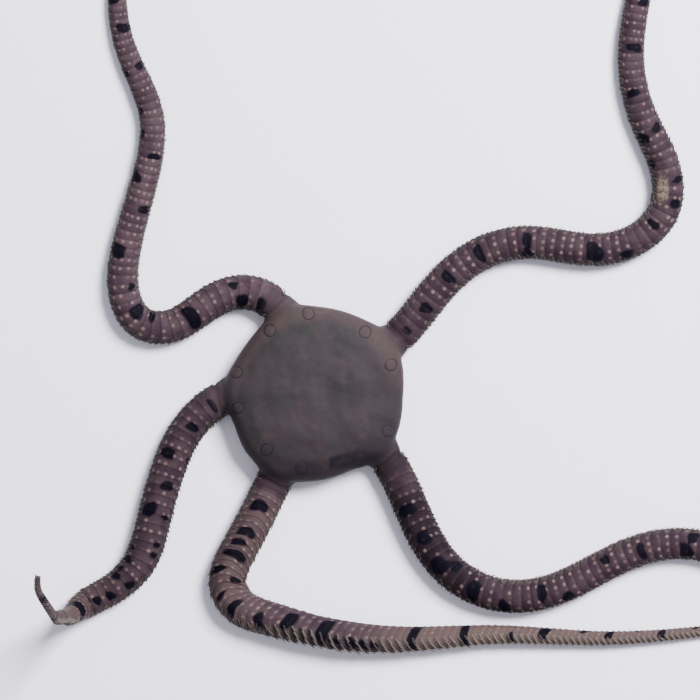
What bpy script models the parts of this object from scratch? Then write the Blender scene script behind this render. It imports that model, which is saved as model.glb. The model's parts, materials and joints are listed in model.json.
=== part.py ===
"""A brittle star at life size, lying on the floor with the end of one arm raised.

Lengths are in millimetres, angles in degrees, and every mesh is scaled to metres when it is made.
The routes are drawn from the disc's centre, +X to the right and +Y away from the viewer. Distances
along an arm are measured from the first point of its route.
"""

import math
import random
from dataclasses import dataclass

import bmesh
import bpy
import numpy as np
from mathutils import Matrix, Vector

MM = 0.001
GAP = 0.3
SEED = 11

# Disc
DISC_HEIGHT = 7.0
DISC_SPOKES = 50
DISC_LOOPS = ((0.84, 0.0), (0.93, 0.55), (0.99, 1.7), (1.0, 3.0), (0.965, 4.3),
              (0.885, 5.35), (0.74, 6.2), (0.52, 6.75), (0.27, 6.95))
DISC_WIDEST_AT = 3.0
MEAN_RADIUS = 13.0
OUTLINE_FADE = 0.1
SIDE_RADII = {15: 13.1, 74: 12.7, 145: 12.9, 202: 13.3, 218: 13.9, 255: 13.4, 271: 13.2, 292: 12.6,
              338: 13.1, 357: 12.75}
SHOULDER_RISE = 1.0
SHOULDER_SPREAD = 15.0

# Arm sockets, which reach from under the disc's skin to the first length of each arm
SOCKET_END = 9.6
SOCKET_STATIONS = ((0.6, 1.75, 1.55), (4.0, 1.5, 1.42), (7.0, 1.2, 1.2), (SOCKET_END, 1.02, 1.02))
ARM_CUTTER = (8.0, 9.0, 30.0)

# Radial shields, one pair above the root of each arm
SHIELD_RADIUS = 11.6
SHIELD_SPREAD = 15.0
SHIELD_LENGTH = 1.9
SHIELD_WIDTH = 1.5
SHIELD_LEVELS = ((-0.7, 1.0), (0.14, 1.0), (0.28, 0.72))
SHIELD_SIDES = 10
SHIELD_SLOPE_OVER = 1.0

# Mouth, and its jaws with their papillae and teeth
MOUTH_RADIUS = 4.6
MOUTH_DEPTH = 2.2
MOUTH_SIDES = 30
JAW_CLEAR_OF_FLOOR = 0.3
JAW_CHAMFER = 0.3
JAW_CHAMFERED_SIZE = 0.8
JAW_TIP_RADIUS = 1.35
JAW_SLIT = 0.9
PAPILLA_PLACES = (0.12, 0.42, 0.72)
PAPILLA_LENGTH = 0.27
PAPILLA_THICKNESS = 0.55
PAPILLA_LEAN = 0.35
TOOTH_LENGTH = 0.55

# Arms
HEIGHT_TO_WIDTH = 0.8
THINNEST = 0.6
RING_PITCH = 3.35
RING_NARROW = 0.92
RING_WIDE = 1.04
RING_LOW = 0.96
RING_HIGH = 1.02
RING_STEP = 0.14
ROLLED_FLAT = 0.03
TWO_ROWS_FROM = 2.9
ROUTE_STEP = 0.25

# One side of an arm's section, as parts of its width and height, from the underside to the crest
HALF_SECTION = ((0.30, 0.0), (0.5, 0.36), (0.43, 0.76), (0.16, 1.0))

# Genital slits, one on each side of an arm's root on the disc's underside
SLIT_FROM = 7.4
SLIT_LENGTH = 3.0
SLIT_WIDTH = 0.5
SLIT_DEPTH = 0.4
SLIT_OFFSET = 3.3

# Arm spines, in rows at parts of the arm's height; a thin arm has one row on each side
SPINE_LENGTH = 1.5
SPINE_PER_WIDTH = 0.4
SPINE_SHORTEST = 0.55
SPINE_THICKNESS = 0.68
SPINE_SLOPE = 44.0
SPINE_SUNK = 0.45
SPINE_ROWS = ((0.34, 0.28, -0.05), (0.70, 0.62, 0.35))
SPINE_ROWS_THIN = ((0.55, 0.45, 0.1),)
SPINE_STAGGER = 0.06
SPINE_LENGTHS = (0.9, 1.08)
SPINE_THICKEST = 0.42
SPINE_CLEAR_OF_END = 0.75
SPINE_CLEAR_OF_STEP = 0.2
SPINE_CLEAR_OF_FLOOR = 0.12


@dataclass(frozen=True)
class Arm:
    """One arm: its route along the floor, its widths and where it is parted into lengths."""

    name: str
    bearing: float
    route: tuple
    widths: tuple
    joins: tuple
    rolls: tuple = ((0.0, 0.0),)


ARMS = (
    Arm(
        "back_left", 112.0,
        ((-1.9, 4.6, 0), (-4.2, 9.9, 0), (-6.8, 13.4, 0), (-11.1, 15.0, 0), (-16.7, 13.0, 0),
         (-21.8, 9.9, 0), (-26.5, 10.4, 0), (-28.9, 14.6, 0), (-28.7, 21.0, 0), (-25.3, 34.0, 0),
         (-24.8, 41.0, 0), (-28.5, 50.8, 0), (-30.0, 58.8, 0), (-28.6, 68.0, 0), (-24.5, 76.5, 0),
         (-18.5, 83.5, 0), (-13.5, 91.5, 0), (-12.5, 100.5, 0), (-16.0, 109.0, 0)),
        ((0, 5.0), (20, 5.0), (40, 4.5), (48, 4.1), (68, 3.4), (80, 2.75), (137, 0.6)),
        (27.0, 39.5, 58.0, 80.0, 106.0),
    ),
    Arm(
        "back_right", 36.0,
        ((4.0, 3.0, 0), (8.9, 6.0, 0), (12.6, 9.0, 0), (17.0, 14.3, 0), (23.4, 20.2, 0),
         (31.2, 22.4, 0), (40.8, 21.3, 0), (47.3, 22.7, 0), (51.7, 27.1, 0), (52.2, 32.0, 0),
         (48.8, 40.6, 0), (46.8, 50.0, 0), (47.9, 58.8, 0), (50.5, 67.5, 0), (55.5, 75.0, 0),
         (60.5, 82.5, 0), (62.0, 91.5, 0), (59.0, 100.0, 0), (52.5, 106.5, 0), (44.0, 109.5, 0)),
        ((0, 5.0), (20, 5.0), (38, 4.8), (54, 4.65), (66, 4.45), (77, 3.9), (98, 3.3), (154, 0.6)),
        (31.0, 52.0, 69.0, 93.0, 122.0),
    ),
    Arm(
        "front_right", -43.0,
        ((3.6, -3.5, 0), (8.2, -7.4, 0), (11.2, -11.4, 0), (14.5, -18.5, 0), (19.7, -26.6, 0),
         (28.1, -30.4, 0), (35.7, -29.3, 0), (43.7, -25.4, 0), (50.0, -23.0, 0), (57.3, -22.9, 0),
         (66.0, -25.2, 0), (75.0, -24.6, 0), (83.0, -20.0, 0), (88.5, -12.5, 0), (90.5, -3.0, 0),
         (89.0, 6.5, 0), (84.5, 15.0, 0), (78.0, 21.5, 0)),
        ((0, 5.0), (20, 5.1), (30, 4.95), (45, 4.75), (70, 4.5), (95, 3.3), (144, 0.6)),
        (27.0, 46.0, 69.0, 91.0, 116.0),
    ),
    Arm(
        "front_left", 243.0,
        ((-2.3, -4.5, 0), (-4.6, -9.6, 0), (-6.5, -13.2, 0), (-9.6, -19.5, 0), (-12.4, -24.7, 0),
         (-13.5, -28.6, 0), (-12.1, -31.5, 0), (-7.6, -33.5, 0), (1.6, -35.7, 0),
         (12.8, -36.7, 0), (26.0, -36.1, 0), (42.3, -36.7, 0), (55.0, -36.0, 0), (61.0, -34.8, 0),
         (65.5, -32.0, 0)),
        ((0, 5.0), (14, 5.3), (26, 5.45), (33, 5.0), (45, 4.85), (56, 3.95), (66, 3.15), (82, 2.3),
         (103, 1.5), (110, 0.6)),
        (23.5, 35.5, 55.0, 82.0),
        ((0, 0), (26, 0), (40, -62), (110, -62)),
    ),
    Arm(
        "left", 178.0,
        ((-5.0, 0.2, 0), (-10.6, 0.2, 0), (-14.6, -1.1, 0), (-19.0, -4.9, 0), (-22.55, -12.25, 0),
         (-24.6, -19.6, 0), (-26.8, -25.7, 0), (-31.2, -29.7, 0), (-34.2, -31.3, 0),
         (-36.2, -32.6, 1.4), (-37.2, -33.4, 6.2), (-37.0, -32.6, 13.0), (-36.65, -31.8, 21.0),
         (-36.2, -30.9, 29.0), (-35.65, -30.0, 36.0), (-35.5, -29.0, 40.0), (-36.1, -27.3, 42.4),
         (-36.7, -25.4, 43.7), (-36.55, -23.4, 44.3)),
        ((0, 5.0), (35, 5.0), (41, 4.6), (47, 4.3), (50, 3.7), (52.5, 2.9), (55, 2.3), (60, 2.0),
         (75, 1.75), (87, 1.5), (93, 1.35), (97, 0.85)),
        (22.0, 38.0, 48.5, 70.0),
    ),
)


def at_distance(pairs, distance):
    """The value that a list of (distance, value) pairs gives at a distance."""
    return float(np.interp(distance, [pair[0] for pair in pairs], [pair[1] for pair in pairs]))


def smooth_route(points):
    """A natural cubic curve through the points, read at even steps, never below the floor."""
    knots = np.array(points, float)
    chords = np.linalg.norm(np.diff(knots, axis=0), axis=1)
    reach = np.concatenate([[0.0], np.cumsum(chords)])
    count = len(knots)
    system = np.eye(count)
    bends = np.zeros((count, 3))
    for i in range(1, count - 1):
        system[i, i - 1:i + 2] = chords[i - 1], 2 * (chords[i - 1] + chords[i]), chords[i]
        after = (knots[i + 1] - knots[i]) / chords[i]
        before = (knots[i] - knots[i - 1]) / chords[i - 1]
        bends[i] = 6 * (after - before)
    moments = np.linalg.solve(system, bends)
    places = np.linspace(0.0, reach[-1], int(reach[-1] / ROUTE_STEP))
    spans = np.clip(np.searchsorted(reach, places, side="right") - 1, 0, count - 2)
    width = chords[spans][:, None]
    late = ((places - reach[spans])[:, None]) / width
    early = 1.0 - late
    curve = early * knots[spans] + late * knots[spans + 1]
    curve += ((early**3 - early) * moments[spans] + (late**3 - late) * moments[spans + 1]) * width**2 / 6
    curve[:, 2] = np.maximum(curve[:, 2], 0.0)
    return curve


class Route:
    """The curve of one arm's underside with a frame at every point of it."""

    def __init__(self, arm):
        self.arm = arm
        self.points = smooth_route(arm.route)
        steps = np.linalg.norm(np.diff(self.points, axis=0), axis=1)
        self.reach = np.concatenate([[0.0], np.cumsum(steps)])
        self.length = float(self.reach[-1])
        tangents = np.gradient(self.points, self.reach, axis=0)
        self.tangents = [Vector(t).normalized() for t in tangents]
        up = Vector((0.0, 0.0, 1.0))
        self.ups = [up]
        for last, tangent in zip(self.tangents, self.tangents[1:]):
            up = last.rotation_difference(tangent) @ up
            up = (up - tangent * up.dot(tangent)).normalized()
            self.ups.append(up)

    def frame(self, distance):
        """Place, tangent, left and up at a distance along the arm."""
        distance = min(max(distance, 0.0), self.length)
        i = int(np.clip(np.searchsorted(self.reach, distance) - 1, 0, len(self.reach) - 2))
        part = (distance - self.reach[i]) / (self.reach[i + 1] - self.reach[i])
        place = Vector(self.points[i]).lerp(Vector(self.points[i + 1]), part)
        tangent = self.tangents[i].lerp(self.tangents[i + 1], part).normalized()
        up = self.ups[i].lerp(self.ups[i + 1], part)
        up = (up - tangent * up.dot(tangent)).normalized()
        return place, tangent, up.cross(tangent), up

    def width(self, distance):
        return max(at_distance(self.arm.widths, distance), THINNEST)

    def section(self, distance, wider=1.0, higher=1.0):
        """The corners of the arm's section, anticlockwise as seen from the arm's tip."""
        place, _, left, up = self.frame(distance)
        width = self.width(distance)
        height = width * HEIGHT_TO_WIDTH
        corners = [(-x * width * wider, y * height * higher) for x, y in HALF_SECTION]
        corners += [(-x, y) for x, y in reversed(corners)]
        turn, shift = self.settled(distance)
        turned = [turn @ Vector(corner) + shift for corner in corners]
        outline = [place + left * c.x + up * max(c.y, 0.0) for c in turned]
        for corner in outline:
            corner.z = max(corner.z, 0.0)
        return outline

    def settled(self, distance):
        """How an arm that is rolled about its middle is turned, and how it is set on the floor again."""
        width = self.width(distance)
        roll = math.radians(at_distance(self.arm.rolls, distance))
        turn = Matrix.Rotation(roll, 2)
        middle = Vector((0.0, width * HEIGHT_TO_WIDTH / 2))
        shift = middle - turn @ middle
        if roll:
            half = [(x * width, y * width * HEIGHT_TO_WIDTH) for x, y in HALF_SECTION]
            lowest = min((turn @ Vector((side * x, y))).y for x, y in half for side in (-1, 1))
            shift.y = -lowest - ROLLED_FLAT * width
        return turn, shift

    def root(self, distance, side, level, lift, wider):
        """A place on the arm's flank and the way out of it, where a spine grows."""
        place, tangent, left, up = self.frame(distance)
        width = self.width(distance)
        heights = [y for _, y in HALF_SECTION]
        reaches = [x for x, _ in HALF_SECTION]
        across = float(np.interp(level, heights, reaches)) * width * wider
        turn, shift = self.settled(distance)
        spot = turn @ Vector((-side * across, level * width * HEIGHT_TO_WIDTH)) + shift
        out = (turn @ Vector((-side, lift))).normalized()
        return place + left * spot.x + up * spot.y, left * out.x + up * out.y, tangent


def material(name, colour, roughness):
    """A plain finish in the colour of the animal's own surface."""
    made = bpy.data.materials.new(name)
    made.use_nodes = True
    shader = made.node_tree.nodes["Principled BSDF"]
    shader.inputs["Base Color"].default_value = (*colour, 1.0)
    shader.inputs["Roughness"].default_value = roughness
    shader.inputs["Metallic"].default_value = 0.0
    return made


def mesh_object(name, bm, collection=None):
    """An object from a bmesh in millimetres, with its faces turned outwards."""
    bmesh.ops.recalc_face_normals(bm, faces=bm.faces[:])
    bmesh.ops.scale(bm, vec=(MM, MM, MM), verts=bm.verts[:])
    mesh = bpy.data.meshes.new(name)
    bm.to_mesh(mesh)
    bm.free()
    made = bpy.data.objects.new(name, mesh)
    (collection or bpy.context.scene.collection).objects.link(made)
    return made


def loft(bm, loops):
    """A closed skin over a row of loops with the same number of corners."""
    rows = [[bm.verts.new(corner) for corner in loop] for loop in loops]
    for row, following in zip(rows, rows[1:]):
        for i, corner in enumerate(row):
            after = (i + 1) % len(row)
            bm.faces.new((corner, row[after], following[after], following[i]))
    bm.faces.new(rows[0])
    bm.faces.new(rows[-1])


def keep_largest(made):
    """Drops all but the largest closed surface of an object's mesh."""
    bm = bmesh.new()
    bm.from_mesh(made.data)
    left = set(bm.faces)
    shells = []
    while left:
        shell = {left.pop()}
        edge_of_shell = list(shell)
        while edge_of_shell:
            face = edge_of_shell.pop()
            for edge in face.edges:
                for other in edge.link_faces:
                    if other in left:
                        left.remove(other)
                        shell.add(other)
                        edge_of_shell.append(other)
        shells.append(shell)
    shells.sort(key=len)
    for shell in shells[:-1]:
        bmesh.ops.delete(bm, geom=list(shell), context="FACES")
    bm.to_mesh(made.data)
    bm.free()


def fuse(made, pieces, operation="UNION"):
    """One Boolean of an object with a collection of closed pieces, which are then removed."""
    boolean = made.modifiers.new("fuse", "BOOLEAN")
    boolean.operation = operation
    boolean.solver = "EXACT"
    boolean.operand_type = "COLLECTION"
    boolean.collection = pieces
    graph = bpy.context.evaluated_depsgraph_get()
    fused = bpy.data.meshes.new_from_object(made.evaluated_get(graph))
    made.modifiers.remove(boolean)
    made.data = fused
    for piece in list(pieces.objects):
        bpy.data.objects.remove(piece)
    bpy.data.collections.remove(pieces)
    keep_largest(made)


def new_collection(name):
    made = bpy.data.collections.new(name)
    bpy.context.scene.collection.children.link(made)
    return made


def finish(made, look, angle=40.0):
    """Gives a node its material and smooth shading."""
    made.data.materials.clear()
    made.data.materials.append(look)
    made.data.polygons.foreach_set("material_index", [0] * len(made.data.polygons))
    made.data.shade_smooth()
    made.data.set_sharp_from_angle(angle=math.radians(angle))


def polar(radius, bearing, height=0.0):
    angle = math.radians(bearing)
    return Vector((radius * math.cos(angle), radius * math.sin(angle), height))


def disc_radius(bearing):
    """The disc's outline: nearly flat sides between the arms and a shoulder at each of them."""
    bearing %= 360.0
    marks = sorted(SIDE_RADII.items())
    marks = [(marks[-1][0] - 360.0, marks[-1][1]), *marks, (marks[0][0] + 360.0, marks[0][1])]
    radius = at_distance(marks, bearing)
    for arm in ARMS:
        away = (bearing - arm.bearing + 180.0) % 360.0 - 180.0
        radius += SHOULDER_RISE * math.exp(-(away / SHOULDER_SPREAD) ** 2)
    return radius


def disc_surface(radius, bearing):
    """The height of the disc's upper side at a place."""
    share = radius / disc_radius(bearing)
    upper = [(part, height) for part, height in reversed(DISC_LOOPS) if height >= DISC_WIDEST_AT]
    return at_distance([(0.0, DISC_HEIGHT), *upper], share)


def add_sockets(pieces, routes):
    for route in routes:
        bm = bmesh.new()
        loft(bm, [route.section(s, wide, high) for s, wide, high in SOCKET_STATIONS])
        mesh_object("socket_" + route.arm.name, bm, pieces)


def add_shields(pieces):
    """An oval plate on each side of every arm's root, raised a little from the skin."""
    for arm in ARMS:
        for side in (-1, 1):
            bearing = arm.bearing + side * SHIELD_SPREAD
            height = disc_surface(SHIELD_RADIUS, bearing)
            inner = disc_surface(SHIELD_RADIUS - SHIELD_SLOPE_OVER, bearing)
            outward = polar(1.0, bearing)
            fall = (inner - height) / SHIELD_SLOPE_OVER
            along = (outward - Vector((0, 0, fall))).normalized()
            across = Vector((0, 0, 1)).cross(outward)
            normal = along.cross(across)
            place = polar(SHIELD_RADIUS, bearing, height)
            loops = []
            for level, size in SHIELD_LEVELS:
                loop = []
                for i in range(SHIELD_SIDES):
                    turn = math.tau * i / SHIELD_SIDES
                    reach = along * (math.cos(turn) * SHIELD_LENGTH / 2 * size)
                    loop.append(place + reach + across * (math.sin(turn) * SHIELD_WIDTH / 2 * size)
                                + normal * level)
                loops.append(loop)
            bm = bmesh.new()
            loft(bm, loops)
            mesh_object("shield", bm, pieces)


def box_cutter(name, place, turn, size, pieces):
    bm = bmesh.new()
    sized = Matrix.Diagonal((*size, 1.0))
    bmesh.ops.create_cube(bm, size=1.0, matrix=Matrix.Translation(place) @ turn.to_4x4() @ sized)
    mesh_object(name, bm, pieces)


def add_disc_cutters(pieces, routes):
    """The mouth's pocket, the genital slits and the room that the first length of each arm takes."""
    bm = bmesh.new()
    bmesh.ops.create_cone(bm, cap_ends=True, segments=MOUTH_SIDES, radius1=MOUTH_RADIUS,
                          radius2=MOUTH_RADIUS, depth=2 * MOUTH_DEPTH)
    mesh_object("mouth_cutter", bm, pieces)
    for route in routes:
        place, tangent, left, up = route.frame(SOCKET_END)
        turn = Matrix((tangent, left, up)).transposed()
        box_cutter("arm_cutter", place + tangent * (ARM_CUTTER[0] / 2), turn, ARM_CUTTER, pieces)
        outward = polar(1.0, route.arm.bearing)
        across = Vector((-outward.y, outward.x, 0.0))
        turn = Matrix((outward, across, Vector((0, 0, 1)))).transposed()
        for side in (-1, 1):
            middle = outward * (SLIT_FROM + SLIT_LENGTH / 2) + across * (side * SLIT_OFFSET)
            box_cutter("slit_cutter", middle, turn, (SLIT_LENGTH, SLIT_WIDTH, 2 * SLIT_DEPTH), pieces)


def build_disc(routes, look):
    loops = []
    for part, height in DISC_LOOPS:
        loop = []
        for i in range(DISC_SPOKES):
            bearing = 360.0 * i / DISC_SPOKES
            fullness = (disc_radius(bearing) - MEAN_RADIUS) * min(1.0, part + OUTLINE_FADE)
            radius = part * (MEAN_RADIUS + fullness)
            loop.append(polar(radius, bearing, height))
        loops.append(loop)
    bm = bmesh.new()
    loft(bm, loops)
    crown = bm.verts.new((0.0, 0.0, DISC_HEIGHT))
    top = max(bm.faces, key=lambda face: face.calc_center_median().z)
    rim = list(top.verts)
    bm.faces.remove(top)
    for i, corner in enumerate(rim):
        bm.faces.new((corner, rim[(i + 1) % len(rim)], crown))
    disc = mesh_object("disc", bm)
    pieces = new_collection("disc_pieces")
    add_sockets(pieces, routes)
    add_shields(pieces)
    fuse(disc, pieces)
    cutters = new_collection("disc_cutters")
    add_disc_cutters(cutters, routes)
    fuse(disc, cutters, "DIFFERENCE")
    finish(disc, look)
    return disc


def length_ends(route):
    """Where each length of an arm starts and ends, with the gap between neighbours."""
    marks = [SOCKET_END, *route.arm.joins, route.length]
    for start, end in zip(marks, marks[1:]):
        last = end == route.length
        near = start + (GAP if start == SOCKET_END else GAP / 2)
        yield near, end if last else end - GAP / 2


def ring_loops(route, start, end):
    """Loops of an arm length: each ring widens towards the tip and ends in a small step."""
    rings = max(2, round((end - start) / RING_PITCH))
    pitch = (end - start) / rings
    loops = []
    for ring in range(rings):
        near = start + ring * pitch + (0.0 if ring == 0 else RING_STEP * pitch / 2)
        far = start + (ring + 1) * pitch - (0.0 if ring == rings - 1 else RING_STEP * pitch / 2)
        loops.append(route.section(near, RING_NARROW, RING_LOW))
        loops.append(route.section(far, RING_WIDE, RING_HIGH))
    return loops, pitch, rings


def add_spine(root, way, length, thickness, pieces):
    """A four-sided spine that tapers from its sunk root to a point."""
    across = way.orthogonal().normalized()
    side = across.cross(way)
    reach = thickness / math.sqrt(2.0)
    bm = bmesh.new()
    foot = []
    for corner in range(4):
        turn = math.tau * (corner + 0.5) / 4
        corner_way = across * math.cos(turn) + side * math.sin(turn)
        foot.append(bm.verts.new(root - way * SPINE_SUNK + corner_way * reach))
    tip = bm.verts.new(root + way * length)
    for i in range(4):
        bm.faces.new((foot[i], foot[(i + 1) % 4], tip))
    bm.faces.new(foot)
    mesh_object("spine", bm, pieces)


def spine_way(root, outward, tangent, length):
    """The way a spine leans towards the arm's tip, clear of the floor."""
    slope = math.radians(SPINE_SLOPE)
    way = tangent * math.cos(slope) + outward * math.sin(slope)
    lowest = root.z + way.z * length
    if lowest < SPINE_CLEAR_OF_FLOOR:
        way.z += (SPINE_CLEAR_OF_FLOOR - lowest) / length
    return way.normalized()


def jaw_outline(bearing, half):
    """A sector between two slits, from its blunt inner end round to the mouth's wall."""
    outer = MOUTH_RADIUS - GAP
    turns = [half - math.degrees(math.asin(JAW_SLIT / 2 / r)) for r in (JAW_TIP_RADIUS, outer)]
    outline = [polar(JAW_TIP_RADIUS, bearing - turns[0])]
    outline += [polar(outer, bearing + turns[1] * part) for part in (-1.0, -0.5, 0.0, 0.5, 1.0)]
    outline.append(polar(JAW_TIP_RADIUS, bearing + turns[0]))
    return outline


def build_jaw(arm_before, arm_after, look, number):
    """One jaw, a wedge between two arms that points to the middle of the mouth."""
    spread = (arm_after.bearing - arm_before.bearing) % 360.0
    bearing = arm_before.bearing + spread / 2
    outline = jaw_outline(bearing, spread / 2)
    middle = sum(outline, Vector()) / len(outline)
    roof = MOUTH_DEPTH - GAP
    levels = ((JAW_CLEAR_OF_FLOOR, JAW_CHAMFERED_SIZE), (JAW_CLEAR_OF_FLOOR + JAW_CHAMFER, 1.0),
              (roof, 1.0))
    bm = bmesh.new()
    loft(bm, [[middle.lerp(corner, size) + Vector((0, 0, z)) for corner in outline] for z, size in levels])
    jaw = mesh_object(f"jaw_{number}", bm)
    pieces = new_collection("papillae")
    height = (JAW_CLEAR_OF_FLOOR + roof) / 2
    for inner, outer, side in ((outline[0], outline[1], -1), (outline[-1], outline[-2], 1)):
        out = polar(1.0, bearing + side * 90)
        for part in PAPILLA_PLACES:
            root = inner.lerp(outer, part) + Vector((0, 0, height))
            way = (out - polar(PAPILLA_LEAN, bearing)).normalized()
            add_spine(root, way, PAPILLA_LENGTH, PAPILLA_THICKNESS, pieces)
    tooth = (outline[0] + outline[-1]) / 2 + Vector((0, 0, height))
    add_spine(tooth, polar(-1.0, bearing), TOOTH_LENGTH, PAPILLA_THICKNESS, pieces)
    fuse(jaw, pieces)
    finish(jaw, look)


def add_spines(route, start, pitch, rings, draw, pieces):
    """Rows of spines along both flanks of an arm length, staggered from row to row."""
    rows = SPINE_ROWS if route.width(start + pitch * rings / 2) > TWO_ROWS_FROM else SPINE_ROWS_THIN
    end = start + pitch * rings
    for ring in range(rings):
        for level, spot, lift in rows:
            for side in (-1, 1):
                distance = start + (ring + spot + draw.uniform(-SPINE_STAGGER, SPINE_STAGGER)) * pitch
                width = route.width(distance)
                length = min(max(width * SPINE_PER_WIDTH, SPINE_SHORTEST), SPINE_LENGTH)
                length *= draw.uniform(*SPINE_LENGTHS)
                if distance + SPINE_CLEAR_OF_END * length + SPINE_CLEAR_OF_STEP > end:
                    continue
                thickness = min(SPINE_THICKNESS, SPINE_THICKEST * width)
                wider = RING_NARROW + (RING_WIDE - RING_NARROW) * spot
                root, outward, tangent = route.root(distance, side, level, lift, wider)
                if root.z > thickness / 2 + SPINE_CLEAR_OF_FLOOR:
                    way = spine_way(root, outward, tangent, length)
                    add_spine(root, way, length, thickness, pieces)


def build_arm(route, look, draw):
    for number, (start, end) in enumerate(length_ends(route), 1):
        loops, pitch, rings = ring_loops(route, start, end)
        bm = bmesh.new()
        loft(bm, loops)
        made = mesh_object(f"arm_{route.arm.name}_{number}", bm)
        pieces = new_collection("spines")
        add_spines(route, start, pitch, rings, draw, pieces)
        fuse(made, pieces)
        finish(made, look)


def centre_on_floor():
    """Moves every node so that the box round them all stands centred on the origin."""
    corners = [v.co for made in bpy.data.objects for v in made.data.vertices]
    low = Vector(min(c[i] for c in corners) for i in range(3))
    high = Vector(max(c[i] for c in corners) for i in range(3))
    shift = Matrix.Translation((-(low.x + high.x) / 2, -(low.y + high.y) / 2, 0.0))
    for made in bpy.data.objects:
        made.data.transform(shift)
    print("The disc's centre is at", shift.translation[:])


def main():
    for old in list(bpy.data.objects):
        bpy.data.objects.remove(old)
    skin = material("disc_skin", (0.105, 0.085, 0.080), 0.75)
    plates = material("arm_plates", (0.125, 0.085, 0.085), 0.7)
    horn = material("jaw_plates", (0.33, 0.25, 0.20), 0.6)
    routes = [Route(arm) for arm in ARMS]
    build_disc(routes, skin)
    around = sorted(ARMS, key=lambda arm: arm.bearing % 360.0)
    for number, (before, after) in enumerate(zip(around, around[1:] + around[:1]), 1):
        build_jaw(before, after, horn, number)
    draw = random.Random(SEED)
    for route in routes:
        build_arm(route, plates, draw)
    centre_on_floor()


main()
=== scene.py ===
"""The looks of a brittle star: its skin, spines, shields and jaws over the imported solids.

Lengths are in millimetres and are turned into metres when a piece is finished. Places are drawn
from the middle of the disc, +X to the right and +Y away from the viewer, with the floor at zero.
Distances along an arm are measured from the first point of its route, under the disc.
"""

import json
import logging
import math
from contextlib import contextmanager
from dataclasses import dataclass
from enum import Enum
from typing import Any, Callable, Iterator, NamedTuple, Sequence, Union

import bmesh
import bpy
import numpy as np
from mathutils import Matrix, Vector, noise


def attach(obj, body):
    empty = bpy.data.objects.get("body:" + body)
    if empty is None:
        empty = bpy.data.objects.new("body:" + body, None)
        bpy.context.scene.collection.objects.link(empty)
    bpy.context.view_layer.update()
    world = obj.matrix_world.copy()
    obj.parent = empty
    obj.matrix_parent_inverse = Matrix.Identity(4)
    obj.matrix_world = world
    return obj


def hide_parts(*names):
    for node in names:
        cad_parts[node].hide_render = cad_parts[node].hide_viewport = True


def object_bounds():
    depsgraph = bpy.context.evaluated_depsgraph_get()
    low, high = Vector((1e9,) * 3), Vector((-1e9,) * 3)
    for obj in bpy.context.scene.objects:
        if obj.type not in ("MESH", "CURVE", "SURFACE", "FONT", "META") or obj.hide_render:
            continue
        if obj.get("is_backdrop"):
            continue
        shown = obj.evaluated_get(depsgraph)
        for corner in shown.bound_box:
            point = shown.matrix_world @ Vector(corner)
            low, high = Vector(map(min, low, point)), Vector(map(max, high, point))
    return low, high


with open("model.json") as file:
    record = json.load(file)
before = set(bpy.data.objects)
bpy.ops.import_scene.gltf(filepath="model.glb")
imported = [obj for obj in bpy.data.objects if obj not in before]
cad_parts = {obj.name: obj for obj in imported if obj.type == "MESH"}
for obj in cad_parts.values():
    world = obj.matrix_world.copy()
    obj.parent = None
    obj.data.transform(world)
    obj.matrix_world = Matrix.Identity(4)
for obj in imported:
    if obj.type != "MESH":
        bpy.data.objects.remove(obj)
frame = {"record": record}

LOG = logging.getLogger("brittle_star")
MM = 0.001
SEED = 5
ROOT_BODY = "root"

# How far to the disc's right the mount on the underside lies
MOUNT_FROM_CENTRE = 8.0

# How bright a white surface shows under the studio's lights
DAYLIGHT = 3.0

# The turn in degrees at which an arm lies on its side
ON_ITS_SIDE = 62.0

# Points that lie closer together than this are one
MERGED_WITHIN = 1e-5

# The numbers at the skin's points that colour it, and its two kinds of face
SKIN_NUMBERS = ("dark", "tan", "scar", "base", "turned", "painted_shade")
SKIN_SIDES = ("disc_side", "arm_side")


class Slot(Enum):
    """The record's material slots."""

    DISC = "disc_skin"
    ARM = "arm_plates"
    JAW = "jaw_plates"


class Mark(NamedTuple):
    """A dark blotch on an arm: how far along it, how far to its left, and its half size."""

    distance: float
    left: float
    rings: float
    reach: float


class Stain(NamedTuple):
    """A soft dark patch on the disc's upper side."""

    x: float
    y: float
    half_length: float
    half_width: float
    turn: float
    strength: float


@dataclass(frozen=True)
class ArmPlan:
    """Where one arm runs, how wide it is and how it is marked.

    Pairs give a value at a distance along the arm: its width, its roll in degrees, how tan it is, how
    much painted shade darkens it, and how close its rings stand. The bow is how far its plates reach ahead
    at the flanks.
    """

    name: str
    bearing: float
    route: tuple
    widths: tuple
    marks: tuple
    rolls: tuple = ((0.0, 0.0),)
    tan: tuple = ((0.0, 0.0),)
    scar: Mark | None = None
    bow: float = 0.3
    closeness: tuple = ((0.0, 1.0),)
    # How much painted shade darkens the arm, by distance along it
    painted_shade: tuple = ((0.0, 0.0),)
    lengths: int = 6


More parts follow.
